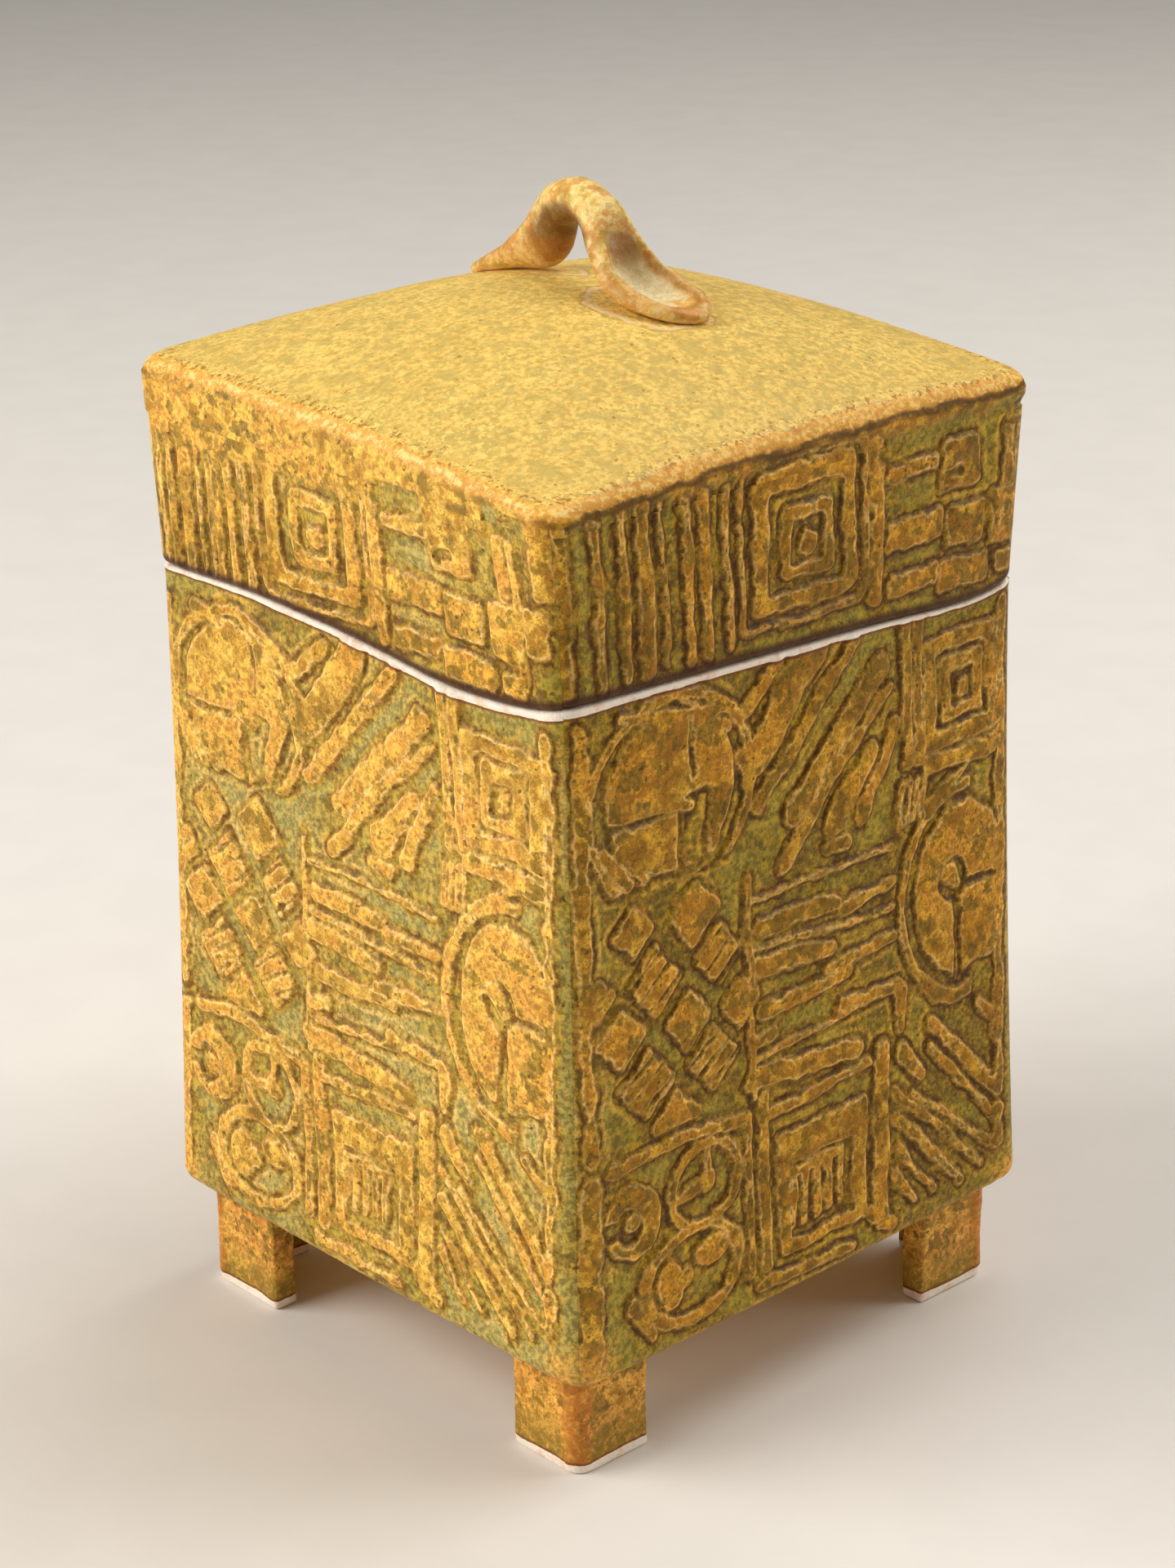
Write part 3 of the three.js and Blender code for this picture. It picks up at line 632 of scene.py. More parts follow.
# Edges: a pale rim that turns to rust here and there, and a dark crease at the foot of each form, partly
# pooled glaze and partly painted shade
rim = band(tree, edge, -0.08, 0.32, 0.18, 0.85)
rim = times(tree, rim, step_between(tree, grains["Wander"], 0.2, 0.8, 1.0, 0.35))
rim = times(tree, rim, step_between(tree, glaze_in["Thick"], 0, 1.4, 1, 0.5))
colour = mixed(tree, times(tree, rim, patterned), colour, glaze_in["Rim"])
faded = minus(tree, others["Wander"], times(tree, glaze_in["Thick"], 0.35))
rust = band(tree, edge, -0.5, -0.15, 0.15, 0.4)
rust = times(tree, rust, step_between(tree, faded, 0.4, 0.75))
colour = mixed(tree, times(tree, rust, patterned), colour, glaze_in["Rust"])
# Painted shade with pooled glaze: a dark brown band at the foot of each form, darker on the shaded sides
crease = band(tree, edge, -0.95, -0.45, 0.25, 0.85)
crease = times(tree, crease, step_between(tree, faded, 0.1, 0.6, 1.0, 0.05))
crease_shade_colour = mixed(tree, glaze_in["Thick"], glaze_in["Crease_pool_and_shade"], glaze_in["Burnt"])
colour = mixed(tree, times(tree, crease, patterned), colour, crease_shade_colour)
worn = times(tree, glaze_in["Worn"], step_between(tree, grains["Patch"], 0, 1, 0.4, 1.1))
colour = mixed(tree, worn, colour, glaze_in["Raised"])
lighter = step_between(tree, grains["Fine"], 0.0, 1.0, 0.6, 1.36)
grey = place_node(tree, "ShaderNodeCombineColor", {"Red": lighter, "Green": lighter, "Blue": lighter})
colour = tinted(tree, colour, grey.outputs["Color"])
colour = mixed(tree, times(tree, grains["Speck"], 0.7), colour, glaze_in["Burnt"])
tree.links.new(colour, glaze_out["Colour"])
gloss = step_between(tree, grains["Patch"], 0.0, 1.0, 0.4, 0.58)
tree.links.new(gloss, glaze_out["Roughness"])
height = plus(tree, grains["Fine"], times(tree, grains["Patch"], 1.5))
tree.links.new(height, glaze_out["Height"])

# Bare clay where the glaze was wiped off or left out. Distance runs from its border into the glaze.
bare_edge, bare_in, bare_out = group_with(
    "bare_clay_edge",
    {
        "Glaze": (0.5, 0.3, 0.1, 1.0), "Gloss": 0.4, "Distance": 5.0,
        "Clay": srgb(255, 240, 222), "Soiled": srgb(240, 196, 162), "Burnt": srgb(120, 62, 22),
    },
    {"Colour": tuple, "Roughness": float},
)
tree = bare_edge
grains = use_group(tree, grain, {"Seed": 3.0})
distance = plus(tree, bare_in["Distance"], swing(tree, grains["Wander"], 0.1))
glazed = step_between(tree, distance, -0.06, 0.06)
burnt = step_between(tree, distance, 0.75, 0.15, 0, 0.85)
glaze_colour = mixed(tree, burnt, bare_in["Glaze"], bare_in["Burnt"])
soiled = step_between(tree, grains["Patch"], 0.5, 1, 0, 0.6)
clay_colour = mixed(tree, soiled, bare_in["Clay"], bare_in["Soiled"])
tree.links.new(mixed(tree, glazed, clay_colour, glaze_colour), bare_out["Colour"])
roughness = times(tree, minus(tree, bare_in["Gloss"], 0.85), glazed)
tree.links.new(plus(tree, roughness, 0.85), bare_out["Roughness"])


def new_material(name):
    """A material, its nodes, and its shader."""
    material = bpy.data.materials.new(name)
    material.use_nodes = True
    return material, material.node_tree, material.node_tree.nodes["Principled BSDF"]


def glossy_material(name, specular=0.15, coat_roughness=0.16):
    """A material with the thin coat of a satin glaze."""
    material, tree, surface = new_material(name)
    surface.inputs["Specular IOR Level"].default_value = specular
    surface.inputs["Coat Weight"].default_value = 0.1
    surface.inputs["Coat Roughness"].default_value = coat_roughness
    return material, tree, surface


def attribute(tree, name):
    return place_node(tree, "ShaderNodeAttribute", {}, attribute_name=name).outputs["Fac"]


def attributes(tree, **names):
    """The named inputs of a group, each read from an attribute of the mesh."""
    return {label: attribute(tree, name) for label, name in names.items()}


def add_bump(tree, surface, height, strength=0.35):
    bump = place_node(tree, "ShaderNodeBump", {"Height": height, "Strength": strength, "Distance": 0.0002})
    tree.links.new(bump.outputs["Normal"], surface.inputs["Normal"])


def finish_surface(tree, surface, colour, roughness, height):
    tree.links.new(colour, surface.inputs["Base Color"])
    tree.links.new(roughness, surface.inputs["Roughness"])
    add_bump(tree, surface, height)


wall_glaze, tree, surface = glossy_material("ochre_glaze_on_relief")
from_mesh = attributes(tree, Edge="edge", Line="line", Thick="thick_and_shaded", Worn="worn")
glaze = use_group(tree, relief_glaze, {**from_mesh, "Seed": 1.0})
below_bare = attribute(tree, "below_bare")
clay_inputs = {"Glaze": glaze["Colour"], "Gloss": glaze["Roughness"], "Distance": below_bare}
clay = use_group(tree, bare_edge, clay_inputs)
finish_surface(tree, surface, clay["Colour"], clay["Roughness"], glaze["Height"])

for turns, side in enumerate(sides):
    wall = slab_wall(
        f"{side}_wall_relief", turns, body_half, lower_edge_wave, rim_wave,
        lower_edge_round, rim_round, body_relief, wall_seeds[turns],
    )
    wall.data.materials.append(wall_glaze)
    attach(wall, "body")
    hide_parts(f"{side}_wall")

# Flange strips
# Four strips of the same clay, luted inside the mouth of the body, which keep the lid from sliding off.
# They are left bare, because glaze there would stick to the lid.
bare_clay, tree, surface = new_material("bare_clay")
grains = use_group(tree, grain, {"Seed": 5.0})
shade = step_between(tree, grains["Patch"], 0.2, 1)
tree.links.new(mixed(tree, shade, srgb(250, 230, 206), srgb(222, 190, 160)), surface.inputs["Base Color"])
surface.inputs["Roughness"].default_value = 0.9
add_bump(tree, surface, grains["Fine"], strength=0.4)
for side in sides:
    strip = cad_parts[f"{side}_flange"]
    strip.data.materials.clear()
    strip.data.materials.append(bare_clay)

# Floor slab
# One square slab of rolled clay, let in between the walls and luted to them all round. Like them, it is
# glazed inside.
floor_glaze, tree, surface = new_material("ochre_glaze_on_floor")
glaze = use_group(tree, relief_glaze, {"Edge": 3.0, "Seed": 7.0})
finish_surface(tree, surface, glaze["Colour"], glaze["Roughness"], glaze["Height"])
floor_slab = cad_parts["floor_slab"]
floor_slab.data.materials.clear()
floor_slab.data.materials.append(floor_glaze)

# Feet
# Four strips of clay, each bent to an L and luted under a corner. They are glazed down to their soles,
# which were wiped bare to stand on the kiln shelf. The glaze turned rusty on their outer corners.
foot_thickness = 5.5
foot_corner_round = 4
foot_end_round = 1.3
foot_inner_round = 1.5
foot_play = 0.35  # how far the uneven outer faces lie inside the straight foot
sole_round = 0.7
bare_height = 1.8  # how high the glaze was wiped off over the sole
rusty_reach = 2.6  # how far the rusty glaze reaches round the outer corner
rusty_inset = 1.2
foot_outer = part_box("front_right_foot")[1].x * 1000
# For each corner: length of the wings, and the shift of a foot that was set askew
foot_shapes = {
    "front_right": (16.4, 0, 0), "back_right": (17.6, 0, 0),
    "back_left": (17, 0, 0), "front_left": (18.6, 3, -2.4),
}


def rounded_path(corners, pitch):
    """Points round a closed outline with corners (x, y, radius), about pitch apart, and their normals."""
    places = []
    count = len(corners)
    for i, (x, y, radius) in enumerate(corners):
        here = np.array((x, y))
        before = np.array(corners[i - 1][:2]) - here
        after = np.array(corners[(i + 1) % count][:2]) - here
        for step in np.linspace(0, 1, 7):
            bend = (1 - step) ** 2 * before / np.hypot(*before) + step**2 * after / np.hypot(*after)
            places.append(here + bend * radius)
    loop = np.array(places)
    gaps = np.hypot(*(np.roll(loop, -1, 0) - loop).T)
    run = np.concatenate([[0], np.cumsum(gaps)])
    stations = np.linspace(0, run[-1], int(run[-1] / pitch), endpoint=False)
    closed = np.vstack([loop, loop[:1]])
    path = np.stack([np.interp(stations, run, closed[:, axis]) for axis in (0, 1)], 1)
    ahead = np.roll(path, -1, 0) - np.roll(path, 1, 0)
    normals = np.stack([ahead[:, 1], -ahead[:, 0]], 1) / np.hypot(*ahead.T)[:, None]
    return path, normals, stations


def foot_piece(name, corner, turns, seed):
    wing, shift_x, shift_y = foot_shapes[corner]
    inner = foot_outer - foot_thickness
    end = foot_outer - wing
    outline_corners = (
        (inner, -inner, foot_inner_round),
        (end, -inner, foot_end_round),
        (end, -foot_outer, foot_end_round),
        (foot_outer, -foot_outer, foot_corner_round),
        (foot_outer, -end, foot_end_round),
        (inner, -end, foot_end_round),
    )
    path, normals, stations = rounded_path(outline_corners, 0.5)
    rounding = np.linspace(0, math.pi / 2, 5)
    straight = np.linspace(sole_round, body_bottom, 38)[1:]
    z = np.concatenate([sole_round * (1 - np.cos(rounding)), straight])
    inset = np.concatenate([sole_round * (1 - np.sin(rounding)), 0 * straight])
    from_corner = np.hypot(path[:, :1] - foot_outer + rusty_inset, path[:, 1:] + foot_outer - rusty_inset)
    bead = rusty_reach - from_corner + 0.6 * waver(stations[:, None], z, 4, seed + 3)
    swell = 0.22 * waver(stations[:, None], z, 7, seed)
    swell = swell + 0.07 * waver(stations[:, None], z, 1.5, seed + 1)
    swell = (swell + 0.3 * ease(-0.5, 0.6, bead)) * ease(0, 2, z) - inset - foot_play
    x = path[:, :1] + normals[:, :1] * swell
    y = path[:, 1:] + normals[:, 1:] * swell
    turned_x, turned_y = turned(x, y, turns * math.pi / 2)
    points = np.stack([turned_x + shift_x, turned_y + shift_y, z + 0 * x], -1).reshape(-1, 3)
    faces = closed_faces(np.arange(x.size).reshape(x.shape).T)
    values = {
        "bead": ease(-0.8, 0.8, bead),
        "low": ease(10.5, 3.5, z + 1.5 * waver(stations[:, None], z, 5, seed + 2)) + 0 * x,
        "above_bare": z - bare_height + 0 * x,
        # Painted shade: share of the foot within two millimetres of the body's underside
        "painted_shade_under_wall": ease(2, 0.2, body_bottom - z) + 0 * x,
    }
    return mesh_piece(name, points, faces, values)


foot_glaze, tree, surface = glossy_material("ochre_glaze_on_feet")
glaze = use_group(tree, relief_glaze, {"Edge": 3.0, "Plain": 1.0, "Seed": 2.0})
grains = use_group(tree, grain, {"Seed": 29.0})
spotted = step_between(tree, grains["Fine"], 0.1, 0.9, 0.35, 1)
bead_share = times(tree, times(tree, attribute(tree, "bead"), spotted), 0.75)
low_share = times(tree, times(tree, attribute(tree, "low"), spotted), 0.95)
glaze_colour = tinted(tree, glaze["Colour"], srgb(238, 226, 226))
glaze_colour = mixed(tree, low_share, glaze_colour, srgb(140, 116, 40))
glaze_colour = mixed(tree, bead_share, glaze_colour, srgb(206, 118, 46))
# Painted shade: dark brown at the top of each foot, where the body's lower edge shades it
painted_shade_under_wall = times(tree, attribute(tree, "painted_shade_under_wall"), 0.8)
glaze_colour = mixed(tree, painted_shade_under_wall, glaze_colour, srgb(96, 52, 12))
above_bare = attribute(tree, "above_bare")
clay_inputs = {"Glaze": glaze_colour, "Gloss": glaze["Roughness"], "Distance": above_bare}
clay = use_group(tree, bare_edge, clay_inputs)
finish_surface(tree, surface, clay["Colour"], clay["Roughness"], glaze["Height"])
for turns, corner in enumerate(foot_shapes):
    stand = foot_piece(f"{corner}_bent_foot", corner, turns, 300 + 10 * turns)
    stand.data.materials.append(foot_glaze)
    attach(stand, "body")
    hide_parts(f"{corner}_foot")

# Lid walls
# Four low slabs from the same mould, mitred like the body's. They flare a little towards the top, where
# they are luted under the domed slab.
lid_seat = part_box("lid_front_wall")[1].z * 1000
lid_rim_half = 51.3
lid_flare = 0.9
seam_gap = 0.3
lid_rim_wave = tuple((distance, level + seam_gap) for distance, level in rim_wave)
lid_seat_line = ((0, lid_seat),)
pattern_shifts = (6, 0, 3.5, -2)  # how far along the mould each slab was cut
pattern_tops = (156.5, 162.4, 160.5, 158)  # where each side's pattern fades out
lid_seeds = (150, 180, 210, 240)
# Upright bars, as (place, half width). The finer ones were scratched into the front slab only.
moulded_bars = (
    (-56, 0.9), (-50, 1.1), (-43.6, 0.8), (-38.2, 0.8), (-34, 1.4), (-30.2, 0.4),
    (-25.4, 0.8), (-21.6, 1.0), (-17, 0.6), (15.6, 1.3), (48.6, 0.7),
)
scratched_bars = ((-52.9, 0.4), (-46.8, 0.4), (-40.9, 0.45), (-27.4, 0.35), (-18.2, 0.35))


def lid_half(z):
    return lid_rim_half + lid_flare * (z - body_rim) / (lid_seat - body_rim)


def upright_bars(x, z, bars):
    return join(*[bar(x, z, (place, 160.4), (place + 0.5, 134.8), width) for place, width in bars])


def squares_round_boss(x, z):
    outer = plate(x, z, -0.2, 149.4, 11.2, 11.6, corner=2)
    middle = plate(x, z, 0, 148.8, 8.3, 8.6, corner=1.5)
    inner = plate(x, z, 0.4, 148.4, 5.6, 6, corner=1.4)
    core = plate(x, z, 0.4, 148.4, 3.7, 4, corner=1)
    boss = join(oval(x, z, 0.6, 147.8, 1.9, 1.9), bar(x, z, (0, 149.6), (1.6, 148.6), 0.8))
    line = np.minimum(outline(plate(x, z, -0.2, 149, 13.6, 13.4, corner=2), 0.35), 162 - z)
    return join(cut(outer, middle), cut(inner, core), boss, line)


def blocks(x, z):
    tiles = (
        (34.5, 153.6, 4.5, 4), (24.6, 144.2, 6.3, 2.3), (36.4, 142.6, 4.4, 3.3), (45.6, 142.6, 3.2, 4.3),
        (24.6, 135.8, 5.6, 1.7), (36.4, 134.6, 5.6, 2.4), (23.6, 154.6, 5.6, 1.2), (46, 153, 1.1, 5.4),
        (52.6, 144, 2.4, 3.8), (54.6, 154, 1.8, 4.2), (46.4, 134.6, 2.6, 1.6),
    )
    shapes = [plate(x, z, *tile, corner=0.7) for tile in tiles]
    notch = plate(x, z, 32.8, 151.4, 2.4, 1.6)
    return join(cut(join(*shapes), notch), bar(x, z, (33, 150.6), (38, 150.8), 0.5))


def lid_relief(x, z, seed, scratched):
    """Distance to the nearest edge of a lid wall's raised pattern, positive on the raised parts."""
    x_here = x + 0.5 * waver(x, z, 7, seed) + 0.2 * waver(x, z, 2.6, seed + 1)
    z_here = z + 0.4 * waver(x, z, 7, seed + 2) + 0.2 * waver(x, z, 2.6, seed + 3)
    bars = upright_bars(x_here, z_here, moulded_bars + scratched * scratched_bars)
    pattern = join(bars, squares_round_boss(x_here, z_here), blocks(x_here, z_here))
    return cut(pattern, wells(x_here, z_here)) + ragged_edge(x, z, seed)


def wells(x, z):
    """Two small sunk squares high on the wall, where the glaze pooled."""
    return join(plate(x, z, 22, 158.2, 6, 1.8), plate(x, z, 47.6, 159.4, 4, 2.1))


def lid_relief_on(side):
    """The pattern of one side of the lid."""
    return lambda x, z, seed: lid_relief(x + pattern_shifts[side], z, seed, side == 0)


def lid_plain_on(side):
    """Share by which one side's pattern has faded out, as it does towards the lid's edge."""
    def plain_at(x, z):
        fade_level = pattern_tops[side] + 1.6 * waver(x, z, 6, 90 + side)
        in_well = ease(-0.9, -0.3, wells(x + pattern_shifts[side], z))
        return ease(-2.2, 1, z - fade_level) * (1 - in_well)

    return plain_at


lid_glaze, tree, surface = glossy_material("ochre_glaze_on_lid_walls")
from_mesh = attributes(tree, Edge="edge", Line="line", Thick="thick_and_shaded", Plain="plain")
glaze = use_group(tree, relief_glaze, {**from_mesh, "Seed": 11.0})
# Painted shade: the lid walls turn dark brown towards their lower edge, for the shadowed gap over the seam
painted_seam_shade = step_between(tree, attribute(tree, "above_bottom"), 2.3, 0.9, 0, 0.92)
colour = mixed(tree, painted_seam_shade, glaze["Colour"], srgb(70, 34, 10))
finish_surface(tree, surface, colour, glaze["Roughness"], glaze["Height"])
for turns, side in enumerate(sides):
    wall = slab_wall(
        f"lid_{side}_wall_relief", turns, lid_half, lid_rim_wave, lid_seat_line,
        rim_round, 0, lid_relief_on(turns), lid_seeds[turns], lid_plain_on(turns),
    )
    wall.data.materials.append(lid_glaze)
    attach(wall, "lid")
    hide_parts(f"lid_{side}_wall")

# Lid top
# One thick slab that sagged into a dome over a hump mould, luted to the lid's walls, its edge thumbed
# round. The glaze lies evenly on it and breaks to orange along the edge, with a painted highlight on the
# edge and painted shade under it on the shaded sides.
top_half = lid_rim_half + lid_flare
edge_height = 166.15
edge_round = 2.4
edge_bow = 1.4
dome_rise = 12.05
hollow_peak = 172.7  # the top of the hollow under the dome


def dome(x, y):
    """Height of the lid's upper face. It is a little askew."""
    right = x / top_half
    back = y / top_half
    across = 1 - right**2
    along = 1 - back**2
    tilt = 0.41 * back - 1.96 * right + 0.57 * right * back
    return edge_height + tilt + edge_bow * (across + along) + (dome_rise - 2 * edge_bow) * across * along


def ring_places(half):
    """Places all round the lid at one half width, in line with its walls' columns."""
    share, turn = wall_grid(rim_half - corner_radius)
    radius = np.minimum(corner_radius, half / 3)
    centre = half - radius
    x_parts, y_parts, along_parts = [], [], []
    for side in range(len(sides)):
        x = (share * centre + radius * np.sin(turn))[:-1]
        y = (-centre - radius * np.cos(turn))[:-1]
        turned_x, turned_y = turned(x, y, side * math.pi / 2)
        x_parts.append(turned_x)
        y_parts.append(turned_y)
        along_parts.append((share * centre + radius * turn)[:-1])
    return np.concatenate(x_parts), np.concatenate(y_parts), along_parts


def lid_top_piece(name):
    rows = []
    values = {"edge": [], "plain": [], "thick_and_shaded": [], "ridge": [], "upward": []}
    thick_and_shaded = np.concatenate([
        around(glaze_depth_and_shade, side, along) for side, along in enumerate(ring_places(top_half)[2])
    ])

    def add_row(x, y, z, edge, plain, ridge, upward):
        rows.append(np.stack([x, y, z + 0 * x], 1))
        depth = thick_and_shaded + 0 * upward
        named = (("edge", edge), ("plain", plain), ("thick_and_shaded", depth), ("ridge", ridge), ("upward", upward))
        for label, value in named:
            values[label].append(value + 0 * x)

    hollow_half = lid_half(lid_seat) - wall_thickness
    hollow_rise = hollow_peak - lid_seat
    for reach in np.sin(np.linspace(0, math.pi / 2, 10)[1:]):
        x, y, _ = ring_places(hollow_half * reach)
        across = np.clip(1 - (x / hollow_half) ** 2, 0, 1)
        along = np.clip(1 - (y / hollow_half) ** 2, 0, 1)
        add_row(x, y, lid_seat + hollow_rise * np.sqrt(across * along), 3, 1, 9, 0)
    x, y, along_parts = ring_places(top_half)
    ridge_height = dome(x, y) - edge_round
    for share in np.linspace(0, 1, 14):
        z = lid_seat + mitre_gap + share * (ridge_height - lid_seat - mitre_gap)
        half = lid_half(z)
        shapes, plains, drops = [], [], []
        for side, along in enumerate(along_parts):
            z_here = np.split(z, len(sides))[side]
            shapes.append(lid_relief_on(side)(along, z_here, lid_seeds[side]))
            plains.append(lid_plain_on(side)(along, z_here))
            drops.append(drawn_in(shapes[-1], along, z_here, lid_seeds[side]) * (1 - plains[-1]))
        drop = np.concatenate(drops) * ease(0.2, 2.5, ridge_height - z)
        outer = 1 - (top_half - half + drop) / top_half
        turned_x, turned_y = lean(x * outer, y * outer, z)
        past_ridge = ridge_height - z + edge_round * 0.8
        add_row(turned_x, turned_y, z, np.concatenate(shapes), np.concatenate(plains), past_ridge, 0)
    for angle in np.linspace(0, math.pi / 2, 9)[1:]:
        inset = edge_round * (1 - math.cos(angle))
        x, y, _ = ring_places(top_half - inset)
        z = dome(x, y) - edge_round * (1 - math.sin(angle))
        turned_x, turned_y = lean(x, y, z)
        past_ridge = edge_round * (math.pi / 4 - angle) * 1.2
        add_row(turned_x, turned_y, z, 3, 1, past_ridge, ease(0.5, 1.5, angle))
    for half in np.linspace(top_half - edge_round, 0.5, 50)[1:]:
        x, y, _ = ring_places(half)
        z = dome(x, y) + 0.12 * waver(x, y, 9, 71)
        turned_x, turned_y = lean(x, y, z)
        add_row(turned_x, turned_y, z, 3, 1, edge_round * 0.06 - top_half + half, 1)
    points = np.concatenate(rows)
    faces = closed_faces(np.arange(len(points)).reshape(len(rows), -1))
    joined_values = {label: np.concatenate(parts) for label, parts in values.items()}
    return mesh_piece(name, points, faces, joined_values)


top_glaze, tree, surface = glossy_material("ochre_glaze_on_dome", specular=0.2, coat_roughness=0.3)
from_mesh = attributes(tree, Edge="edge", Plain="plain", Thick="thick_and_shaded")
glaze = use_group(tree, relief_glaze, {**from_mesh, "Seed": 13.0})
grains = use_group(tree, grain, {"Seed": 17.0})
others = use_group(tree, grain, {"Seed": 43.0})
dome_colour = mixed(tree, grains["Fine"], srgb(206, 166, 80), srgb(255, 216, 116))
olive = step_between(tree, grains["Patch"], 0.35, 0.9, 0, 0.7)
dome_colour = mixed(tree, olive, dome_colour, srgb(198, 172, 92))
flaking = step_between(tree, others["Cloud"], 0.2, 0.7)
flakes = times(tree, step_between(tree, others["Fine"], 0.6, 0.95), flaking)
dome_colour = mixed(tree, times(tree, flakes, 0.8), dome_colour, srgb(255, 222, 122))
dome_colour = mixed(tree, times(tree, grains["Speck"], 0.5), dome_colour, srgb(120, 80, 30))
colour = mixed(tree, attribute(tree, "upward"), glaze["Colour"], dome_colour)
from_ridge = plus(tree, attribute(tree, "ridge"), swing(tree, grains["Wander"], 0.4))
near_ridge = place_node(tree, "ShaderNodeMath", {0: from_ridge}, operation="ABSOLUTE").outputs[0]
# Towards the edge the glaze breaks into pale flakes and brown spots
breaking = times(tree, step_between(tree, from_ridge, -9, 0), step_between(tree, from_ridge, 2, 0.8))
pale_flakes = step_between(tree, plus(tree, others["Fine"], times(tree, breaking, 0.35)), 0.75, 1.05)
colour = mixed(tree, times(tree, pale_flakes, breaking), colour, srgb(255, 214, 116))
brown_spots = step_between(tree, plus(tree, grains["Fine"], times(tree, breaking, 0.4)), 0.95, 1.2)
colour = mixed(tree, times(tree, brown_spots, breaking), colour, srgb(164, 108, 34))
colour = mixed(tree, step_between(tree, near_ridge, 1.8, 0.6, 0, 0.6), colour, srgb(250, 172, 64))
broken = step_between(tree, others["Fine"], 0.3, 0.8, 0.1, 1)
thick_and_shaded = attribute(tree, "thick_and_shaded")
thinner_and_lit = step_between(tree, thick_and_shaded, 0, 1, 1, 0.6)
# A pale band along the ridge: glaze breaking pale over the edge, and a painted highlight, fainter on the
# shaded sides
pale_break_and_highlight = times(tree, step_between(tree, near_ridge, 0.9, 0.2, 0, 0.85), times(tree, broken, thinner_and_lit))
colour = mixed(tree, pale_break_and_highlight, colour, srgb(255, 228, 140))
shadow_line = times(tree, band(tree, from_ridge, 1.3, 2.2, 0.4, 0.85), thick_and_shaded)
colour = mixed(tree, shadow_line, colour, srgb(92, 60, 12))
# The slip that fixed the two ends of the handle shows as a pale ring round each
place = place_node(tree, "ShaderNodeTexCoord", {}).outputs["Object"]
slip_rings = ((-24, 11.4, 14, 5.2, -6), (10.8, 4.8, 11.4, 8.4, 6))
for centre_x, centre_y, reach_x, reach_y, turn in slip_rings:
    inputs = {
        "Vector": place,
        "Location": (centre_x / 1000, centre_y / 1000, 0),
        "Rotation": (0, 0, math.radians(turn)),
        "Scale": (reach_x / 1000, reach_y / 1000, 1000),
    }
    in_ring = place_node(tree, "ShaderNodeMapping", inputs, vector_type="TEXTURE").outputs["Vector"]
    reach = place_node(tree, "ShaderNodeVectorMath", {0: in_ring}, operation="LENGTH").outputs["Value"]
    reach = plus(tree, reach, swing(tree, grains["Wander"], 0.08))
    colour = mixed(tree, band(tree, reach, 0.9, 1.0, 0.05, 0.7), colour, srgb(240, 206, 164))
    colour = mixed(tree, band(tree, reach, 1.03, 1.08, 0.03, 0.5), colour, srgb(158, 116, 52))
finish_surface(tree, surface, colour, glaze["Roughness"], glaze["Height"])
lid_top = lid_top_piece("domed_lid_top")
lid_top.data.materials.append(top_glaze)
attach(lid_top, "lid")
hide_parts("lid_top")

# Handle
# A pulled coil, arched over the lid and fixed with slip. One end is drawn out to a tail, and the other is
# pressed into the lid by a thumb, which left a spoon between two ridges.
handle_place = Vector((-6, 5))
handle_turn = math.radians(-6)
# Stops along the handle: distance from the middle of the arch, height of the coil's middle over the lid,
# half width, half thickness, depth of the hollow that the thumb left, shift aside, and bulge of the
# underside
handle_stops = (
    (-33, 0.8, 1.2, 0.9, 0, 2.4, 0),
    (-28, 1.6, 2.8, 1.6, 0, 3, 0),
    (-21.5, 3.1, 3.7, 2.5, 0, 3.6, 0.2),
    (-15.6, 6.1, 3.9, 3.2, 0, 3.8, 0.9),
    (-11.2, 9.6, 3.8, 3.4, 0, 3.4, 0.8),
    (-6.4, 12.4, 3.7, 3.4, 0, 2, 0.2),
    (0.2, 13.7, 3.7, 3.3, 0, 0.8, 0),
    (6.4, 11.9, 4, 3.3, 0, 0.2, 0),
    (10, 7.7, 5, 3.4, 1.4, 0.4, 0),
    (13.2, 4.2, 6.3, 3.1, 3.4, 1, 0),
    (17.8, 2.5, 6.9, 2.6, 2.9, 2, 0),
    (22, 1.8, 6.4, 2.1, 1.7, 2.9, 0),
    (25, 1.3, 4.8, 1.7, 0.6, 3.6, 0),
    (26.6, 0.9, 2.6, 1.2, 0, 4, 0),
    (27.2, 0.6, 1, 0.8, 0, 4.2, 0),
)
section_points = 56
handle_sections = 190
thumb_width = 0.72  # of the half width
least_lift = 0.06  # of the handle's skin over the lid


def through(stops, count):
    """Values at even steps along a smooth curve through the stops."""
    table = np.array(stops, float)
    table = np.vstack([2 * table[0] - table[1], table, 2 * table[-1] - table[-2]])
    place = np.linspace(0, len(stops) - 1, count)
    step = np.minimum(place.astype(int), len(stops) - 2)
    t = (place - step)[:, None]
    before, start, end, later = (table[step + i] for i in range(4))
    return 0.5 * (
        2 * start + (end - before) * t + (2 * before - 5 * start + 4 * end - later) * t**2
        + (3 * start - before - 3 * end + later) * t**3
    )


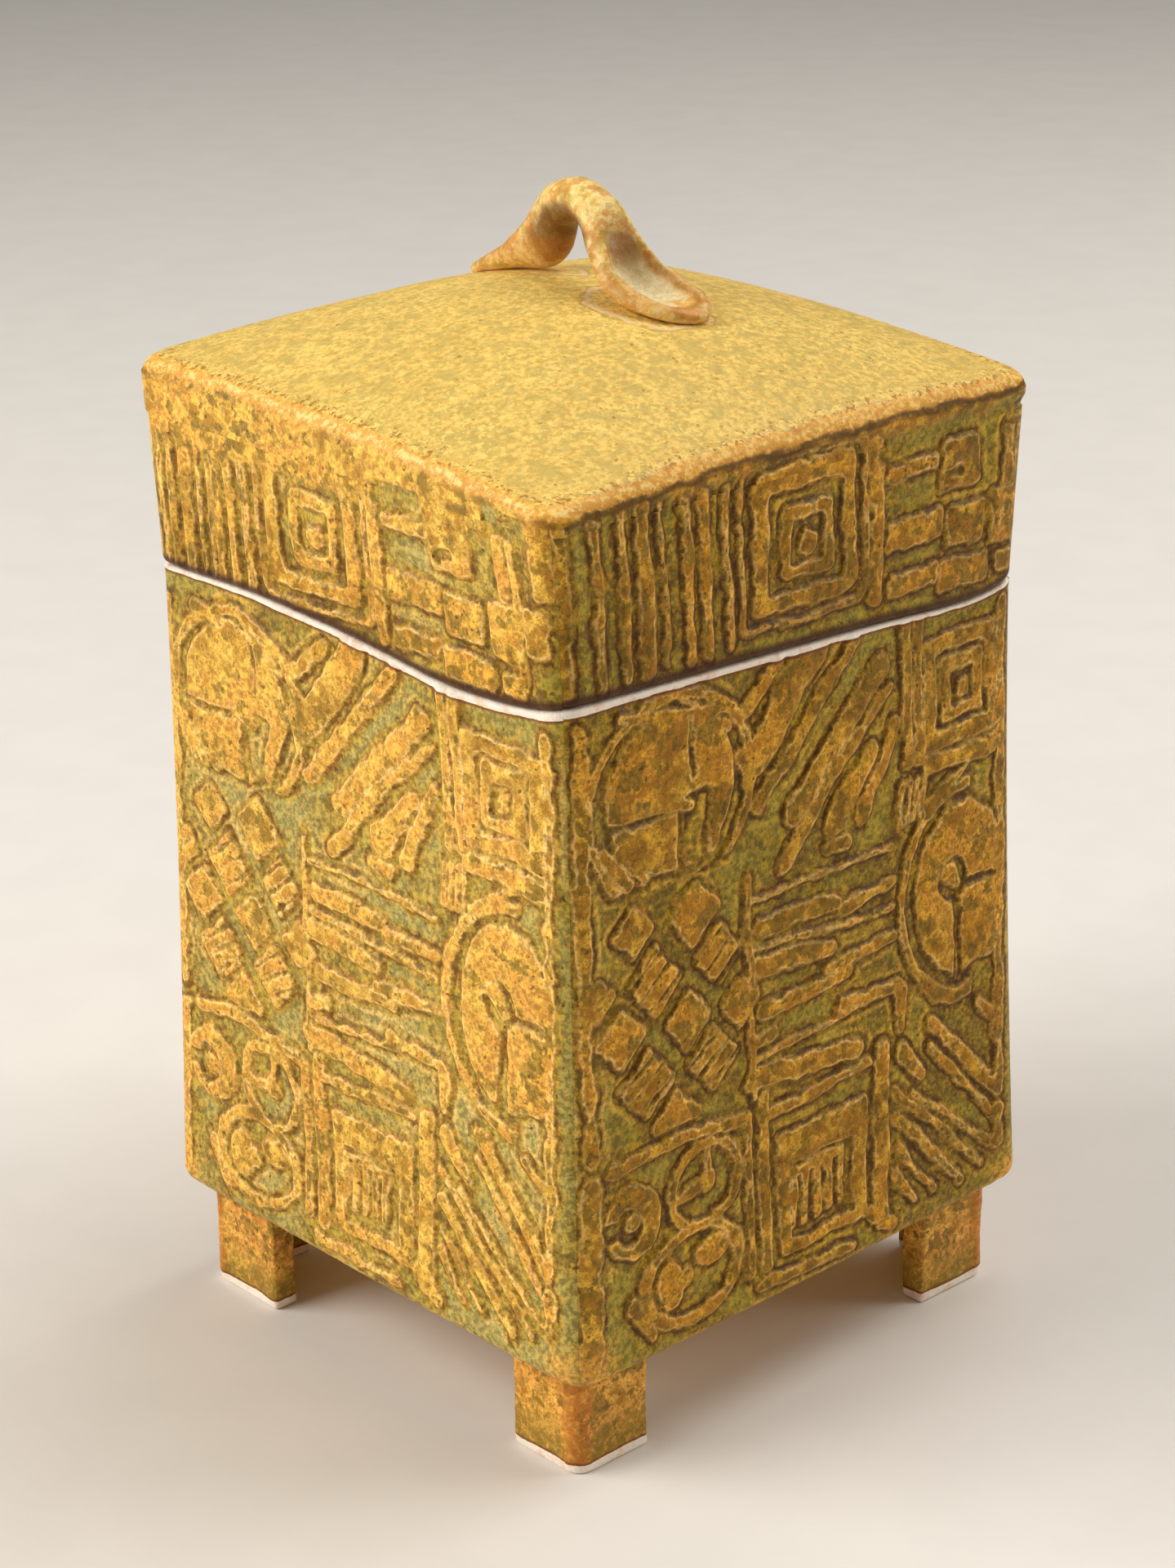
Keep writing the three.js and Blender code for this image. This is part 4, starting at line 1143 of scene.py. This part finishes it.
def handle_piece(name):
    along, height, width, thickness, hollow, aside, bulge = through(handle_stops, handle_sections).T
    middle_x, middle_y = turned(along, aside, handle_turn)
    middle_z = dome(handle_place.x + middle_x, handle_place.y + middle_y) + height
    run = np.gradient(along)
    rise = np.gradient(middle_z)
    length = np.hypot(run, rise)
    out_along = (-rise / length)[:, None]
    out_up = (run / length)[:, None]
    angle = np.linspace(0, 2 * math.pi, section_points, endpoint=False)
    knead = 1 + 0.035 * waver(along[:, None], angle * 3, 2.4, 81)
    sideways = aside[:, None] + width[:, None] * np.cos(angle) * knead
    outwards = thickness[:, None] * np.sin(angle) * knead * (1 + bulge[:, None] * (np.sin(angle) < 0))
    dip = np.clip(1 - (np.cos(angle) / thumb_width) ** 2, 0, 1) * (np.sin(angle) > 0)
    outwards = outwards - hollow[:, None] * dip * 1.25
    x, y = turned(along[:, None] + outwards * out_along, sideways, handle_turn)
    x = x + handle_place.x
    y = y + handle_place.y
    z = middle_z[:, None] + outwards * out_up
    z = np.maximum(z, dome(x, y) + least_lift)
    points = np.stack([x, y, z], -1).reshape(-1, 3)
    faces = closed_faces(np.arange(x.size).reshape(x.shape))
    arch = ease(-17, -12, along) * ease(12, 8, along)
    values = {
        "pressed": ease(0.1, 1.6, hollow)[:, None] * dip,
        "far": along[:, None] + 0 * x,
        "lift": z - dome(x, y),
        # Painted shade: share of the coil's underside inside the arch
        "shade_under_arch": arch[:, None] * ease(0.25, -0.35, np.sin(angle)),
    }
    return mesh_piece(name, points, faces, values)


handle_glaze, tree, surface = glossy_material("ochre_glaze_on_handle", specular=0.25, coat_roughness=0.25)
grains = use_group(tree, grain, {"Seed": 19.0})
others = use_group(tree, grain, {"Seed": 61.0})
colour = mixed(tree, grains["Fine"], srgb(240, 190, 94), srgb(255, 232, 156))
olive = step_between(tree, others["Patch"], 0.4, 0.8, 0, 0.65)
colour = mixed(tree, olive, colour, srgb(182, 154, 62))
brown = step_between(tree, grains["Patch"], 0.5, 0.8, 0, 0.55)
colour = mixed(tree, brown, colour, srgb(208, 122, 38))
# Painted shade under the arch, and brown where the legs leave the lid
colour = mixed(tree, times(tree, attribute(tree, "shade_under_arch"), 0.85), colour, srgb(92, 52, 12))
leg = band(tree, attribute(tree, "lift"), 1.5, 6, 1.5, 0.4)
colour = mixed(tree, leg, colour, srgb(190, 112, 40))
pressed = attribute(tree, "pressed")
far = attribute(tree, "far")
colour = mixed(tree, band(tree, pressed, 0.1, 0.45, 0.15, 0.4), colour, srgb(150, 84, 30))
pool_colour = mixed(tree, grains["Fine"], srgb(222, 202, 142), srgb(250, 232, 188))
lip_colour = mixed(tree, grains["Fine"], srgb(206, 148, 66), srgb(246, 196, 110))
lip_share = step_between(tree, others["Patch"], 0.2, 0.7)
lip_share = times(tree, step_between(tree, far, 18, 23), lip_share)
pool_colour = mixed(tree, lip_share, pool_colour, lip_colour)
pool_colour = mixed(tree, step_between(tree, far, 13.2, 10.6, 0, 0.85), pool_colour, srgb(140, 82, 20))
pooled = times(tree, step_between(tree, pressed, 0.3, 0.65), 0.92)
colour = mixed(tree, pooled, colour, pool_colour)
slip = step_between(tree, attribute(tree, "lift"), 1.1, 0.4, 0, 0.8)
colour = mixed(tree, slip, colour, srgb(240, 202, 136))
gloss = step_between(tree, grains["Patch"], 0, 1, 0.3, 0.5)
finish_surface(tree, surface, colour, gloss, grains["Fine"])
handle = handle_piece("pulled_handle")
handle.data.materials.append(handle_glaze)
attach(handle, "lid")
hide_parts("handle")

# The studio
# A wide, pale, plain floor. The light comes softly from the camera's left and from above, and faintly
# from its right.
floor_half = 9  # metres
floor_corners = [
    (-floor_half, -floor_half, 0), (floor_half, -floor_half, 0),
    (floor_half, floor_half, 0), (-floor_half, floor_half, 0),
]
floor_mesh = bpy.data.meshes.new("studio_floor")
floor_mesh.from_pydata(floor_corners, [], [(0, 1, 2, 3)])
studio_floor = bpy.data.objects.new("studio_floor", floor_mesh)
bpy.context.scene.collection.objects.link(studio_floor)
floor_paint, tree, surface = new_material("pale_floor")
grains = use_group(tree, grain, {"Seed": 23.0})
shade = plus(tree, grains["Cloud"], times(tree, grains["Fine"], 0.25))
tree.links.new(mixed(tree, shade, srgb(228, 223, 216), srgb(231, 226, 219)), surface.inputs["Base Color"])
surface.inputs["Roughness"].default_value = 0.8
studio_floor.data.materials.append(floor_paint)


def area_light(name, place, power, size, colour):
    """A square lamp that points at the middle of the box."""
    light = bpy.data.objects.new(name, bpy.data.lights.new(name, "AREA"))
    light.data.energy = power
    light.data.size = size
    light.data.color = colour
    light.location = place
    light.rotation_euler = (Vector((0, 0, 0.1)) - light.location).to_track_quat("-Z", "Y").to_euler()
    bpy.context.scene.collection.objects.link(light)


area_light("key_light", Vector((-0.6, -1.05, 0.8)), 19.5, 1.1, (1, 0.97, 0.92))
area_light("top_light", Vector((0.2, 0.6, 1.35)), 13.5, 1.1, (1, 0.98, 0.95))
area_light("side_light", Vector((0.95, 1.1, 0.6)), 4.5, 0.6, (1, 0.95, 0.86))
world = bpy.data.worlds.new("studio_air")
world.use_nodes = True
world.node_tree.nodes["Background"].inputs["Color"].default_value = (1, 0.97, 0.92, 1)
world.node_tree.nodes["Background"].inputs["Strength"].default_value = 0.17
bpy.context.scene.world = world
bpy.context.scene.view_settings.view_transform = "Standard"
